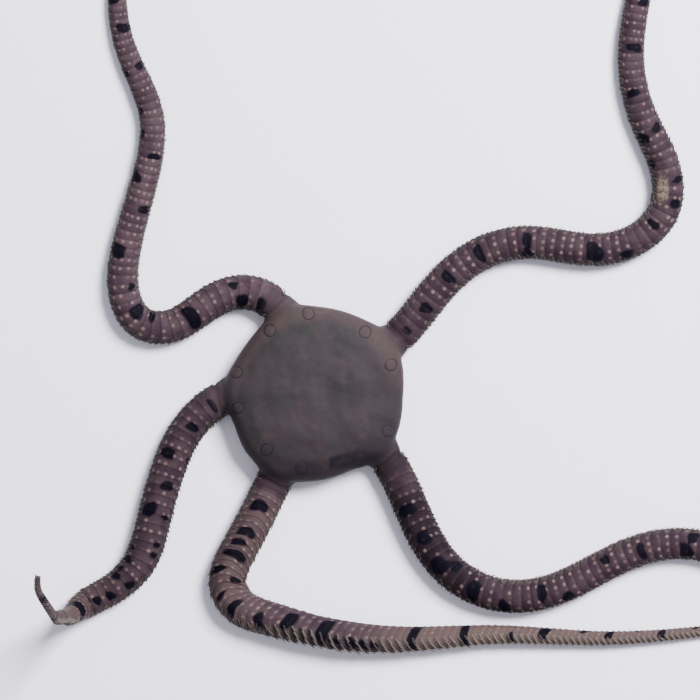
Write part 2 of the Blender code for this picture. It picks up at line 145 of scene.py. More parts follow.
ARMS = (
    ArmPlan(
        "back_left", 112.0,
        ((-1.9, 4.6, 0), (-4.2, 9.9, 0), (-6.8, 13.4, 0), (-11.1, 15.0, 0), (-16.7, 13.0, 0),
         (-21.8, 9.9, 0), (-26.5, 10.4, 0), (-28.9, 14.6, 0), (-28.7, 21.0, 0), (-25.3, 34.0, 0),
         (-24.8, 41.0, 0), (-28.5, 50.8, 0), (-30.0, 58.8, 0), (-28.6, 68.0, 0), (-24.5, 76.5, 0),
         (-18.5, 83.5, 0), (-13.5, 91.5, 0), (-12.5, 100.5, 0), (-16.0, 109.0, 0)),
        ((0, 5.0), (20, 5.0), (40, 4.5), (48, 4.1), (68, 3.4), (80, 2.75), (137, 0.6)),
        (Mark(11.3, 1.4, 0.9, 1.2), Mark(14.9, 1.5, 1.2, 1.1), Mark(16.1, -0.8, 0.7, 0.5),
         Mark(23.5, 0.3, 1.1, 1.6), Mark(30.0, -1.5, 0.9, 0.8), Mark(33.2, -0.9, 1.25, 1.1),
         Mark(37.6, -1.3, 0.7, 0.5), Mark(43.0, 1.0, 1.2, 1.2), Mark(49.8, -1.2, 0.8, 0.7),
         Mark(54.2, 1.3, 1.0, 1.0), Mark(57.8, -0.7, 0.6, 0.8), Mark(61.0, 1.5, 0.9, 0.4),
         Mark(64.8, 1.4, 0.8, 0.4), Mark(71.1, 1.5, 0.8, 0.6), Mark(71.4, -0.9, 0.8, 0.7)),
    ),
    ArmPlan(
        "back_right", 36.0,
        ((4.0, 3.0, 0), (8.9, 6.0, 0), (12.6, 9.0, 0), (17.0, 14.3, 0), (23.4, 20.2, 0),
         (31.2, 22.4, 0), (40.8, 21.3, 0), (47.3, 22.7, 0), (51.7, 27.1, 0), (52.2, 32.0, 0),
         (48.8, 40.6, 0), (46.8, 50.0, 0), (47.9, 58.8, 0), (50.5, 67.5, 0), (55.5, 75.0, 0),
         (60.5, 82.5, 0), (62.0, 91.5, 0), (59.0, 100.0, 0), (52.5, 106.5, 0), (44.0, 109.5, 0)),
        ((0, 5.0), (20, 5.0), (38, 4.8), (54, 4.65), (66, 4.45), (77, 3.9), (98, 3.3), (154, 0.6)),
        (Mark(11.1, -0.3, 0.6, 0.6), Mark(15.4, -0.3, 0.9, 0.8), Mark(21.0, 0.05, 0.7, 0.95),
         Mark(26.9, 0.05, 0.8, 1.15), Mark(34.2, 0.0, 0.8, 1.15), Mark(34.3, -1.8, 1.2, 0.6),
         Mark(44.2, -0.45, 1.25, 1.45), Mark(48.7, -1.5, 1.1, 0.7), Mark(54.2, 0.3, 0.7, 0.85),
         Mark(58.3, -1.0, 0.8, 0.7), Mark(61.5, -1.15, 0.6, 0.7), Mark(64.7, 1.9, 0.8, 0.5),
         Mark(68.9, 1.6, 0.9, 1.0), Mark(69.5, -0.8, 0.8, 0.7), Mark(75.6, 0.5, 0.7, 0.9),
         Mark(82.3, -0.3, 0.8, 1.0), Mark(89.3, -0.7, 0.8, 0.7)),
        scar=Mark(60.2, 1.0, 2.4, 0.9),
        painted_shade=((0, 0.4), (30, 0.35), (45, 0.3), (60, 0.3), (154, 0.2)),
    ),
    ArmPlan(
        "front_right", -43.0,
        ((3.6, -3.5, 0), (8.2, -7.4, 0), (11.2, -11.4, 0), (14.5, -18.5, 0), (19.7, -26.6, 0),
         (28.1, -30.4, 0), (35.7, -29.3, 0), (43.7, -25.4, 0), (50.0, -23.0, 0), (57.3, -22.9, 0),
         (66.0, -25.2, 0), (75.0, -24.6, 0), (83.0, -20.0, 0), (88.5, -12.5, 0), (90.5, -3.0, 0),
         (89.0, 6.5, 0), (84.5, 15.0, 0), (78.0, 21.5, 0)),
        ((0, 5.0), (20, 5.1), (30, 4.95), (45, 4.75), (70, 4.5), (95, 3.3), (144, 0.6)),
        (Mark(17.4, -0.75, 1.05, 1.2), Mark(22.2, -0.15, 1.1, 0.95), Mark(26.8, -0.5, 1.25, 1.3),
         Mark(28.5, 0.95, 0.95, 0.9), Mark(32.9, -0.4, 1.1, 1.35), Mark(37.6, -1.3, 0.9, 0.9),
         Mark(43.2, 0.2, 0.85, 1.1), Mark(46.6, -1.5, 0.9, 0.9), Mark(53.9, 0.8, 0.8, 0.6),
         Mark(59.3, -0.1, 0.7, 1.1), Mark(66.2, -0.85, 1.2, 1.0), Mark(67.0, 1.0, 0.95, 0.7),
         Mark(70.5, -0.4, 0.8, 0.9)),
        painted_shade=((0, 0.3), (13, 0.45), (17, 0.8), (31, 0.8), (37, 0.35), (60, 0.3), (144, 0.25)),
    ),
    ArmPlan(
        "front_left", 243.0,
        ((-2.3, -4.5, 0), (-4.6, -9.6, 0), (-6.5, -13.2, 0), (-9.6, -19.5, 0), (-12.4, -24.7, 0),
         (-13.5, -28.6, 0), (-12.1, -31.5, 0), (-7.6, -33.5, 0), (1.6, -35.7, 0),
         (12.8, -36.7, 0), (26.0, -36.1, 0), (42.3, -36.7, 0), (55.0, -36.0, 0), (61.0, -34.8, 0),
         (65.5, -32.0, 0)),
        ((0, 5.0), (14, 5.3), (26, 5.45), (33, 5.0), (45, 4.85), (56, 3.95), (66, 3.15), (82, 2.3),
         (103, 1.5), (110, 0.6)),
        (Mark(13.7, -0.3, 0.8, 1.2), Mark(18.0, -0.2, 0.75, 1.1), Mark(19.8, -0.5, 0.6, 0.9),
         Mark(21.7, -0.1, 0.6, 1.8), Mark(24.2, -1.7, 0.5, 1.2), Mark(25.4, 1.2, 0.5, 0.9),
         Mark(27.5, -1.4, 0.35, 0.8), Mark(29.7, -1.0, 0.6, 1.3), Mark(33.8, -1.5, 0.7, 1.2),
         Mark(38.0, -1.1, 0.95, 1.4), Mark(43.4, -1.7, 1.05, 1.9), Mark(45.7, -2.9, 0.6, 0.6),
         Mark(47.6, -2.8, 0.8, 0.75), Mark(49.5, -2.75, 0.8, 0.7), Mark(51.0, -2.7, 0.7, 0.6),
         Mark(56.7, -1.0, 0.9, 2.2), Mark(64.4, -1.0, 0.9, 2.0), Mark(71.5, -1.5, 0.7, 0.7)),
        rolls=((0, 0), (26, 0), (40, -62), (110, -62)),
        bow=1.7,
        closeness=((0, 0.7), (26, 0.7), (34, 0.92), (110, 1.0)),
        painted_shade=((0, 0.0), (30, 0.1), (38, 0.3), (52, 0.1), (110, 0.0)),
        tan=((8, 0.0), (13, 0.35), (28, 0.4), (34, 0.1), (46, 0.0), (58, 0.75), (66, 1.0),
             (110, 0.8)),
        lengths=5,
    ),
    ArmPlan(
        "left", 178.0,
        ((-5.0, 0.2, 0), (-10.6, 0.2, 0), (-14.6, -1.1, 0), (-19.0, -4.9, 0), (-22.55, -12.25, 0),
         (-24.6, -19.6, 0), (-26.8, -25.7, 0), (-31.2, -29.7, 0), (-34.2, -31.3, 0),
         (-36.2, -32.6, 1.4), (-37.2, -33.4, 6.2), (-37.0, -32.6, 13.0), (-36.65, -31.8, 21.0),
         (-36.2, -30.9, 29.0), (-35.65, -30.0, 36.0), (-35.5, -29.0, 40.0), (-36.1, -27.3, 42.4),
         (-36.7, -25.4, 43.7), (-36.55, -23.4, 44.3)),
        ((0, 5.0), (35, 5.0), (41, 4.6), (47, 4.3), (50, 3.7), (52.5, 2.9), (55, 2.3), (60, 2.0),
         (75, 1.75), (87, 1.5), (93, 1.35), (97, 0.85)),
        (Mark(11.2, 0.2, 0.4, 1.2), Mark(15.6, 0.45, 0.7, 0.8), Mark(20.7, -0.8, 0.9, 0.9),
         Mark(20.6, 2.3, 0.5, 0.4), Mark(25.4, 0.65, 0.75, 0.9), Mark(29.4, -0.85, 1.15, 0.9),
         Mark(30.0, 1.6, 0.4, 0.5), Mark(34.2, 1.35, 0.5, 0.4), Mark(35.6, 1.35, 0.5, 0.4),
         Mark(35.6, -1.9, 0.5, 0.4), Mark(38.0, -1.6, 0.7, 0.6), Mark(40.0, -1.6, 0.5, 0.5),
         Mark(41.4, -1.2, 0.8, 0.6), Mark(40.8, 1.0, 0.7, 0.6), Mark(43.8, 0.6, 0.8, 0.7),
         Mark(46.0, 0.3, 0.7, 0.6), Mark(47.4, -0.4, 0.6, 0.5), Mark(52.6, -0.2, 1.3, 2.6),
         Mark(55.5, 1.5, 1.0, 0.8), Mark(70.0, 0.0, 1.2, 1.6), Mark(79.0, 0.0, 1.2, 1.4),
         Mark(88.3, 0.0, 1.0, 1.6), Mark(93.4, 0.0, 1.0, 1.6)),
        tan=((41, 0.0), (46, 0.3), (52, 0.3), (54, 0.6), (60, 0.5), (80, 0.2), (97, 0.0)),
        painted_shade=((0, 0.3), (40, 0.3), (47, 0.15), (80, 0.15), (97, 0.2)),
        lengths=5,
    ),
)

# The ten radial shields, as how far out they lie and on what bearing
SHIELD_PLACES = ((11.6, 127.5), (11.8, 96.6), (11.4, 51.9), (11.6, 20.8), (11.9, -28.5),
                 (11.5, -57.8), (11.4, 257.8), (11.3, 228.2), (12.0, 190.8), (12.4, 165.8))

STAINS = (
    Stain(2.1, -10.3, 0.95, 0.4, 86.0, 0.85),
    Stain(2.9, -9.6, 0.8, 0.4, 24.0, 0.6),
    Stain(5.6, -10.0, 3.9, 1.4, 8.0, 0.75),
    Stain(-5.6, -0.5, 4.6, 0.6, -3.0, 0.14),
    Stain(-3.3, 5.6, 0.9, 0.6, 60.0, 0.2),
    Stain(-6.0, 2.9, 1.8, 0.6, -28.0, 0.2),
    Stain(4.7, 2.4, 0.9, 0.6, 20.0, 0.24),
    Stain(3.7, 0.7, 1.8, 0.8, -14.0, 0.24),
    Stain(-2.0, -11.4, 2.6, 1.0, 10.0, 0.35),
)

Scalar = Union[float, "Value"]
Colour = tuple[float, float, float, float]


def srgb(red: int, green: int, blue: int) -> Colour:
    """A shader colour from the values that a picture shows.

    Args:
        red: How red it is, from 0 to 255.
        green: How green it is.
        blue: How blue it is.

    Returns:
        The linear colour.
    """
    shares = (value / 255.0 for value in (red, green, blue))
    linear = [s / 12.92 if s <= 0.04045 else ((s + 0.055) / 1.055) ** 2.4 for s in shares]
    return (linear[0], linear[1], linear[2], 1.0)


def seen(red: int, green: int, blue: int) -> Colour:
    """The colour of a surface that shows as these 0 to 255 values in the studio's light."""
    colour = srgb(red, green, blue)
    return (colour[0] / DAYLIGHT, colour[1] / DAYLIGHT, colour[2] / DAYLIGHT, 1.0)


def polar(radius: float, bearing: float, height: float = 0.0) -> Vector:
    """A place at a distance from the disc's middle, on a bearing in degrees."""
    angle = math.radians(bearing)
    return Vector((radius * math.cos(angle), radius * math.sin(angle), height))


def at_distance(pairs: Sequence[tuple], distance: float) -> float:
    """The value that (distance, value) pairs give at a distance."""
    return float(np.interp(distance, [pair[0] for pair in pairs], [pair[1] for pair in pairs]))


def signed_power(value: float, power: float) -> float:
    """A power that keeps the sign."""
    return math.copysign(abs(value) ** power, value)


def disc_middle() -> Vector:
    """The place of the disc's middle in the frame, from the mount beside it, in metres."""
    mount = frame["record"]["mounts"][0]["pos_m"]
    return Vector((mount[0] - MOUNT_FROM_CENTRE * MM, mount[1], 0.0))


def operator(operation: str, swapped: bool = False) -> Callable[["Value", Scalar], "Value"]:
    """A method of Value for one of Python's operators.

    Args:
        operation: The operation of the Math node that it adds.
        swapped: Whether the value stands on the operator's right.

    Returns:
        The method.
    """
    def work(value: "Value", other: Scalar) -> "Value":
        """Adds the operator's Math node."""
        terms = (other, value) if swapped else (value, other)
        return value.sheet.maths(operation, *terms)

    return work


class Value:
    """A number that a shader socket gives, which adds its Math nodes as it is worked with."""

    __add__ = __radd__ = operator("ADD")
    __mul__ = __rmul__ = operator("MULTIPLY")
    __sub__, __rsub__ = operator("SUBTRACT"), operator("SUBTRACT", True)
    __truediv__, __rtruediv__ = operator("DIVIDE"), operator("DIVIDE", True)
    __pow__, __rpow__ = operator("POWER"), operator("POWER", True)
    least = operator("MINIMUM")

    def __init__(self, sheet: "Sheet", socket: bpy.types.NodeSocket) -> None:
        """Wraps a socket of a sheet's nodes."""
        self.sheet = sheet
        self.socket = socket

    def part(self) -> "Value":
        """What is left after the whole number."""
        return self.sheet.maths("FRACT", self)

    def whole(self) -> "Value":
        """The whole number below."""
        return self.sheet.maths("FLOOR", self)

    def size(self) -> "Value":
        """The value without its sign."""
        return self.sheet.maths("ABSOLUTE", self)

    def rise(self, low: float, high: float) -> "Value":
        """A smooth step between two values.

        Args:
            low: The value from which it is 0.
            high: The value from which it is 1, which may be the lower one.

        Returns:
            The step.
        """
        if low > high:
            return 1.0 - self.rise(high, low)
        inputs = {"Value": self, "From Min": low, "From Max": high}
        return self.sheet.node("ShaderNodeMapRange", {"interpolation_type": "SMOOTHSTEP"}, inputs, "Result")


class Sheet:
    """The nodes of one material."""

    def __init__(self, name: str) -> None:
        """Starts a material with its own Principled BSDF.

        Args:
            name: The material's name.
        """
        self.material = bpy.data.materials.new(name)
        self.material.use_nodes = True
        self.tree = self.material.node_tree
        self.shader = self.tree.nodes["Principled BSDF"]

    def node(self, kind: str, settings: dict[str, Any] | None = None,
             inputs: dict[Any, Any] | None = None, out: Any = 0) -> Value:
        """Adds a node.

        Args:
            kind: The node's type.
            settings: Its settings, set first.
            inputs: The values or links of its sockets.
            out: The output that is wanted.

        Returns:
            The wanted output.
        """
        made = self.tree.nodes.new(kind)
        for key, value in (settings or {}).items():
            setattr(made, key, value)
        for key, value in (inputs or {}).items():
            self.feed(made.inputs[key], value)
        return Value(self, made.outputs[out])

    def feed(self, socket: bpy.types.NodeSocket, value: Any) -> None:
        """Links or sets one input socket.

        Args:
            socket: The socket.
            value: What it gets: a number, a colour, a vector or another node's value.
        """
        if isinstance(value, Value):
            self.tree.links.new(value.socket, socket)
        else:
            socket.default_value = value

    def maths(self, operation: str, first: Scalar, second: Scalar | None = None) -> Value:
        """One Math node."""
        inputs = {0: first} if second is None else {0: first, 1: second}
        return self.node("ShaderNodeMath", {"operation": operation}, inputs)

    def mix(self, share: Scalar, first: Any, second: Any) -> Value:
        """A mix of two colours by a share."""
        settings = {"data_type": "RGBA", "blend_type": "MIX", "clamp_factor": True}
        return self.node("ShaderNodeMix", settings, {0: share, 6: first, 7: second}, 2)

    def vector(self, operation: str, first: Any, second: Any, out: Any = 0) -> Value:
        """One Vector Math node."""
        return self.node("ShaderNodeVectorMath", {"operation": operation}, {0: first, 1: second}, out)

    def place(self, middle: Vector) -> Value:
        """A point of the piece, in metres from the disc's middle."""
        return self.vector("SUBTRACT", self.node("ShaderNodeTexCoord", out="Object"), tuple(middle))

    def split(self, vector: Value) -> tuple[Value, Value, Value]:
        """The three numbers of a vector."""
        outputs = self.node("ShaderNodeSeparateXYZ", inputs={0: vector}).socket.node.outputs
        return Value(self, outputs[0]), Value(self, outputs[1]), Value(self, outputs[2])

    def joined(self, x: Scalar, y: Scalar, z: Scalar = 0.0) -> Value:
        """A vector of three numbers."""
        return self.node("ShaderNodeCombineXYZ", inputs={0: x, 1: y, 2: z})

    def speckle(self, where: Value, scale: float, detail: float = 3.0, rough: float = 0.55) -> Value:
        """A cloudy noise between 0 and 1."""
        inputs = {"Vector": where, "Scale": scale, "Detail": detail, "Roughness": rough}
        return self.node("ShaderNodeTexNoise", None, inputs, "Fac")

    def granules(self, where: Value, scale: float) -> Value:
        """Small rounded grains, highest at their middles."""
        return 1.0 - self.node("ShaderNodeTexVoronoi", None, {"Vector": where, "Scale": scale}, "Distance")

    def chance(self, number: Scalar) -> Value:
        """A random number between 0 and 1 for every number."""
        return self.node("ShaderNodeTexWhiteNoise", {"noise_dimensions": "1D"}, {"W": number}, "Value")

    def attribute(self, name: str) -> Value:
        """A number that the mesh holds at its points."""
        return self.node("ShaderNodeAttribute", {"attribute_name": name}, out="Fac")

    def bump(self, height: Value, strength: float, depth: float, under: Value | None = None) -> Value:
        """A bump from a height.

        Args:
            height: The height, from 0 to 1.
            strength: How strongly it shows.
            depth: How deep it is, in metres.
            under: The normal of a bump that it lies on.

        Returns:
            The normal.
        """
        inputs: dict[str, Any] = {"Height": height, "Strength": strength, "Distance": depth}
        if under is not None:
            inputs["Normal"] = under
        return self.node("ShaderNodeBump", None, inputs, "Normal")

    def finish(self, inputs: dict[str, Any]) -> bpy.types.Material:
        """Feeds the shader's sockets.

        Args:
            inputs: The values or links of its sockets.

        Returns:
            The material.
        """
        for key, value in inputs.items():
            self.feed(self.shader.inputs[key], value)
        return self.material


@dataclass(frozen=True)
class DiscFinish:
    """The disc's matt, finely grained skin with soft cloudy colour; its lengths are in metres."""

    name: str = "disc_skin_finish"
    brown: Colour = seen(74, 63, 69)
    green: Colour = seen(57, 58, 58)
    # The plum of the painted shade towards the disc's front and right
    plum: Colour = seen(56, 42, 51)
    tan: Colour = seen(104, 85, 80)
    root: Colour = seen(92, 74, 80)
    ink: Colour = seen(30, 20, 38)
    under: Colour = seen(128, 112, 100)
    roughness: float = 0.64
    specular: float = 0.16
    cloud_scale: float = 170.0
    warm_scale: float = 260.0
    wrinkle_scale: float = 620.0
    rag_scale: float = 700.0
    fine_scale: float = 900.0
    rough_scale: float = 1400.0
    granule_scale: float = 5200.0
    granule_depth: float = 0.00004
    wrinkle_depth: float = 0.0002
    middle_reach: tuple = (0.0085, 0.001)
    root_reach: tuple = (0.0134, 0.0156)
    rim_reach: tuple = (0.0116, 0.0132, 0.0138, 0.0148)
    sole: float = 0.0012
    upper_from: tuple = (0.003, 0.0045)
    shield_half: tuple = (0.0009, 0.00084)

    def colour(self, sheet: Sheet, where: Value) -> Value:
        """The colour of the skin without its stains, with painted shade towards the disc's front and right.

        Args:
            sheet: The material's nodes.
            where: The place, measured from the disc's middle.

        Returns:
            The colour.
        """
        x, y, z = sheet.split(where)
        cloud = sheet.speckle(where, self.cloud_scale, 4.0)
        fine = sheet.speckle(where, self.fine_scale, 3.0, 0.6)
        reach = sheet.vector("LENGTH", where, (0.0, 0.0, 0.0), "Value")
        middle = reach.rise(*self.middle_reach)
        colour = sheet.mix((cloud + middle * 0.35).rise(0.36, 0.74) * 0.85, self.brown, self.green)
        colour = sheet.mix(reach.rise(*self.root_reach) * 0.8, colour, self.root)
        # Painted shade: the skin is painted darker and plum towards the disc's front and its right, set for
        # how the studio light falls across it
        front = (y + (cloud - 0.5) * 0.006).rise(-0.004, -0.0125)
        right = (x + (cloud - 0.5) * 0.008).rise(0.002, 0.0125)
        colour = sheet.mix((front * 0.7 + right * 0.55).least(0.9), colour, self.plum)
        warm = sheet.speckle(where, self.warm_scale, 2.0)
        rim_from, rim_full, rim_fades, rim_ends = self.rim_reach
        rim = reach.rise(rim_from, rim_full) * reach.rise(rim_ends, rim_fades) * y.rise(-0.002, 0.006)
        colour = sheet.mix((warm.rise(0.55, 0.75) * 0.3 + rim * 0.5).least(1.0), colour, self.tan)
        colour = sheet.mix(fine.rise(0.56, 0.74) * 0.16, colour, self.ink)
        return sheet.mix((self.sole - z) / self.sole, colour, self.under)

    @staticmethod
    def oval(x: Value, y: Value, centre: Sequence[float], turn: float, half: Sequence[float]) -> Value:
        """How far out a place lies in a turned oval.

        Args:
            x: The place across.
            y: The place up.
            centre: The oval's middle.
            turn: Which way its length points, in degrees.
            half: Half its length and half its width.

        Returns:
            The square of the distance, 1 on the oval's edge.
        """
        cosine, sine = math.cos(math.radians(turn)), math.sin(math.radians(turn))
        along = (x - centre[0]) * cosine + (y - centre[1]) * sine
        across = (y - centre[1]) * cosine - (x - centre[0]) * sine
        return (along / half[0]) ** 2.0 + (across / half[1]) ** 2.0

    def stained(self, sheet: Sheet, where: Value, colour: Value) -> Value:
        """The colour with the soft dark stains and a thin line round each radial shield.

        Args:
            sheet: The material's nodes.
            where: The place, measured from the disc's middle.
            colour: The colour of the skin alone.

        Returns:
            The colour.
        """
        x, y, z = sheet.split(where)
        rag = (sheet.speckle(where, self.rag_scale, 3.0) - 0.5) * 0.9
        top = z.rise(*self.upper_from)
        dark: Scalar = 0.0
        for stain in STAINS:
            half = (stain.half_length * MM, stain.half_width * MM)
            away = self.oval(x, y, (stain.x * MM, stain.y * MM), stain.turn, half)
            dark = (away + rag).rise(1.5, 0.2) * stain.strength + dark
        colour = sheet.mix((dark * top).least(0.92), colour, self.ink)
        lines: Scalar = 0.0
        for radius, bearing in SHIELD_PLACES:
            away = self.oval(x, y, polar(radius * MM, bearing), bearing, self.shield_half)
            lines = (away ** 0.5 + rag * 0.4 - 1.0).size().rise(0.17, 0.03) + lines
        return sheet.mix(lines * top * (0.8 + rag * 0.6), colour, self.ink)

    def build(self, middle: Vector) -> bpy.types.Material:
        """Makes the material.

        Args:
            middle: The place of the disc's middle.

        Returns:
            The material.
        """
        sheet = Sheet(self.name)
        where = sheet.place(middle)
        first = sheet.bump(sheet.granules(where, self.granule_scale), 0.35, self.granule_depth)
        wrinkle = sheet.speckle(where, self.wrinkle_scale, 4.0, 0.6)
        return sheet.finish({
            "Base Color": self.stained(sheet, where, self.colour(sheet, where)),
            "Normal": sheet.bump(wrinkle, 0.35, self.wrinkle_depth, first),
            "Roughness": sheet.speckle(where, self.rough_scale) * 0.16 + self.roughness,
            "Specular IOR Level": self.specular,
        })


@dataclass(frozen=True)
class ArmFinish:
    """The arms' plates: purple-brown rings with rows of pale dots and dark blotches."""

    name: str = "arm_plate_finish"
    brown: Colour = seen(104, 84, 91)
    plum: Colour = seen(84, 64, 77)
    # The flanks' own olive-grey, painted paler as well to stand in for light on the arms' edges
    olive: Colour = seen(100, 92, 87)
    tan: Colour = seen(126, 107, 102)
    dot: Colour = seen(174, 146, 139)
    ink: Colour = seen(9, 6, 26)
    rim: Colour = seen(42, 32, 42)
    gap: Colour = seen(46, 30, 42)
    scar: Colour = seen(170, 150, 130)
    under: Colour = seen(134, 120, 108)
    # The dark colour of the painted shade along the arms, also used for the darker band over the near part
    # of every ring
    shade: Colour = seen(34, 22, 34)
    roughness: float = 0.62
    specular: float = 0.05
    cloud_scale: float = 420.0
    grain_scale: float = 2600.0
    granule_scale: float = 4200.0
    granule_depth: float = 0.00005
    relief_depth: float = 0.00012

    # How many dots go round, where in a ring their row lies, their half size in cells and which
    # rings are the first to have them
    dot_cells: float = 13.0
    dot_row: float = 0.72
    dot_half: tuple = (0.26, 0.2)
    dotted_from: tuple = (2.0, 5.5)

    # Places between an arm's top, which is 0, and its underside, which is one half
    dotted_to: tuple = (0.22, 0.12)
    flank: tuple = (0.12, 0.19)
    underside: tuple = (0.36, 0.42)
    plate_joints: tuple = (0.105, 0.37)
    joint_edges: tuple = (0.014, 0.004)

    def dots(self, sheet: Sheet, round_: Value, along: Value) -> Value:
        """Rows of pale dots, one row near the far edge of every ring.

        Args:
            sheet: The material's nodes.
            round_: The share of the way round the arm.
            along: The ring's number and the share of its length.

        Returns:
            How pale the dots are, from 0 to 1.
        """
        ring = along.whole()
        column = round_ * self.dot_cells + sheet.chance(ring) * 0.6
        chance = sheet.node("ShaderNodeTexWhiteNoise", {"noise_dimensions": "2D"},
                            {"Vector": sheet.joined(column.whole(), ring + 0.5)}, "Value")
        shift = (chance * 7.3).part() * 0.3 - 0.15
        x = (column.part() - 0.5 + shift) / self.dot_half[0]
        y = (along.part() - self.dot_row + shift * 0.4) / self.dot_half[1]
        spot = (x * x + y * y).rise(1.5, 0.1)
        upper = (round_ - 0.5).size().rise(*self.dotted_to)
        bright = 0.25 + (chance * 13.7).part() * 0.65
        ring_of_arm = (along / UNWRAP.rings_apart).part() * UNWRAP.rings_apart
        begun = ring_of_arm.rise(*self.dotted_from)
        return spot * (chance + upper * 0.2).rise(0.42, 0.62) * upper * bright * begun

    def plates(self, sheet: Sheet, clouds: tuple[Value, Value], across: Value, along: Value) -> Value:
        """The colour of the plates without their joints, blotches and dots.

        Args:
            sheet: The material's nodes.
            clouds: A broad and a fine cloudy noise.
            across: How far from the arm's top the place lies, as a share of the way round.
            along: The ring's number and the share of its length.

        Returns:
            The colour.
        """
        cloud, grain = clouds
        part = along.part()
        tone = sheet.chance(along.whole() + 0.3)
        colour = sheet.mix((cloud + (tone - 0.5) * 0.16).rise(0.36, 0.66), self.brown, self.plum)
        # The olive-grey band along the flanks: partly their own colour, partly painted light on the arms'
        # edges
        colour = sheet.mix(across.rise(*self.flank) * (0.45 + cloud * 0.6).least(1.0), colour, self.olive)
        colour = sheet.mix((part - 0.7).size().rise(0.2, 0.6) * 0.18, colour, self.shade)
        slant = (part - 0.5 - (across - 0.17) * 2.2).part()
        gaps = across.rise(0.14, 0.18) * across.rise(0.38, 0.35) * slant.rise(0.5, 0.68)
        colour = sheet.mix((gaps * (sheet.attribute("turned") * 0.65 + 0.35)).least(1.0), colour, self.gap)
        # Painted shade: the arm is painted darker stretch by stretch, by amounts set arm by arm for how the
        # studio light falls on it
        colour = sheet.mix(sheet.attribute("painted_shade") * (0.6 + cloud * 0.8), colour, self.shade)
        tanned = (sheet.attribute("tan") * (0.65 + cloud * 0.6)).least(1.0)
        colour = sheet.mix(tanned, colour, self.tan)
        edge = part.rise(0.55, 0.75) * part.rise(0.97, 0.85)
        colour = sheet.mix(edge * grain.rise(0.35, 0.65) * 0.08, colour, self.dot)
        return sheet.mix(across.rise(*self.underside), colour, self.under)

    def build(self, middle: Vector) -> bpy.types.Material:
        """Makes the material.

        Args:
            middle: The place of the disc's middle.

        Returns:
            The material.
        """
        sheet = Sheet(self.name)
        where = sheet.place(middle)
        round_, along, _ = sheet.split(sheet.node("ShaderNodeUVMap", {"uv_map": "Rings"}, out="UV"))
        across = (round_ - 0.5).size()
        cloud = sheet.speckle(where, self.cloud_scale, 4.0)
        grain = sheet.speckle(where, self.grain_scale, 3.0, 0.65)
        groove = (along.part() - 0.5).size().rise(0.36, 0.5)
        joints = [(across - line).size().rise(*self.joint_edges) for line in self.plate_joints]
        joint = joints[0] + joints[1]
        dark = sheet.attribute("dark") + (grain - 0.5) * 0.16 + (cloud - 0.5) * 0.24
        mask, halo = dark.rise(0.36, 0.64), dark.rise(0.12, 0.48)
        drape = (sheet.attribute("base") + (cloud - 0.5) * 0.5).rise(0.3, 0.7)
        spots = self.dots(sheet, round_, along) * (1.0 - drape)
        colour = self.plates(sheet, (cloud, grain), across, along)
        colour = sheet.mix(groove * 0.12, colour, self.ink)
        colour = sheet.mix(joint * 0.1, colour, self.ink)
        colour = sheet.mix(drape, colour, DiscFinish().colour(sheet, where))
        colour = sheet.mix(grain.rise(0.62, 0.75) * 0.3, colour, self.plum)
        colour = sheet.mix(halo * (0.48 - drape * 0.16), colour, self.rim)
        colour = sheet.mix(mask * (0.84 + cloud * 0.24 - drape * 0.4), colour, self.ink)
        colour = sheet.mix(sheet.attribute("scar") * grain.rise(0.3, 0.6), colour, self.scar)
        colour = sheet.mix(spots * (0.84 - mask * 0.8), colour, self.dot)
        first = sheet.bump(sheet.granules(where, self.granule_scale), 0.4, self.granule_depth)
        relief = spots * 0.7 - (groove * 0.4 + joint * 0.3) * (1.0 - drape) + grain * 0.5
        return sheet.finish({
            "Base Color": colour,
            "Normal": sheet.bump(relief, 0.5, self.relief_depth, first),
            "Roughness": self.roughness + grain * 0.14 - spots * 0.1,
            "Specular IOR Level": self.specular,
        })


@dataclass(frozen=True)
class SpineFinish:
    """The spines: olive-grey, paler at the point and darker where an arm is blotched."""

    name: str = "spine_finish"
    olive: Colour = seen(112, 104, 96)
    plum: Colour = seen(94, 83, 81)
    pale: Colour = seen(156, 144, 132)
    ink: Colour = seen(24, 20, 38)
    roughness: float = 0.55
    specular: float = 0.2
    grain_scale: float = 3800.0
    grain_depth: float = 0.00004

    def build(self, middle: Vector) -> bpy.types.Material:
        """Makes the material.

        Args:
            middle: The place of the disc's middle.

        Returns:
            The material.
        """
        sheet = Sheet(self.name)
        grain = sheet.speckle(sheet.place(middle), self.grain_scale, 2.0)
        colour = sheet.mix(sheet.attribute("tone"), self.olive, self.plum)
        share = sheet.attribute("far").rise(0.45, 1.0) * 0.5 + sheet.attribute("pale") * 0.6
        colour = sheet.mix(share, colour, self.pale)
        colour = sheet.mix(sheet.attribute("dark").rise(0.3, 0.6) * 0.66, colour, self.ink)
        colour = sheet.mix(grain.rise(0.55, 0.75) * 0.25, colour, self.ink)
        return sheet.finish({
            "Base Color": colour,
            "Normal": sheet.bump(grain, 0.3, self.grain_depth),
            "Roughness": self.roughness,
            "Specular IOR Level": self.specular,
        })


@dataclass(frozen=True)
class JawFinish:
    """The jaws' plates, teeth and papillae: pale horn with darker joints."""

    name: str = "jaw_finish"
    horn: Colour = seen(164, 146, 128)
    shade: Colour = seen(112, 94, 84)
    roughness: float = 0.5
    specular: float = 0.2
    cloud_scale: float = 900.0
    granule_scale: float = 4600.0
    granule_depth: float = 0.00005

    def build(self, middle: Vector) -> bpy.types.Material:
        """Makes the material.

        Args:
            middle: The place of the disc's middle.

        Returns:
            The material.
        """
        sheet = Sheet(self.name)
        where = sheet.place(middle)
        cloud = sheet.speckle(where, self.cloud_scale, 4.0)
        return sheet.finish({
            "Base Color": sheet.mix(cloud.rise(0.4, 0.7), self.horn, self.shade),
            "Normal": sheet.bump(sheet.granules(where, self.granule_scale), 0.4, self.granule_depth),
            "Roughness": self.roughness + cloud * 0.2,
            "Specular IOR Level": self.specular,
        })


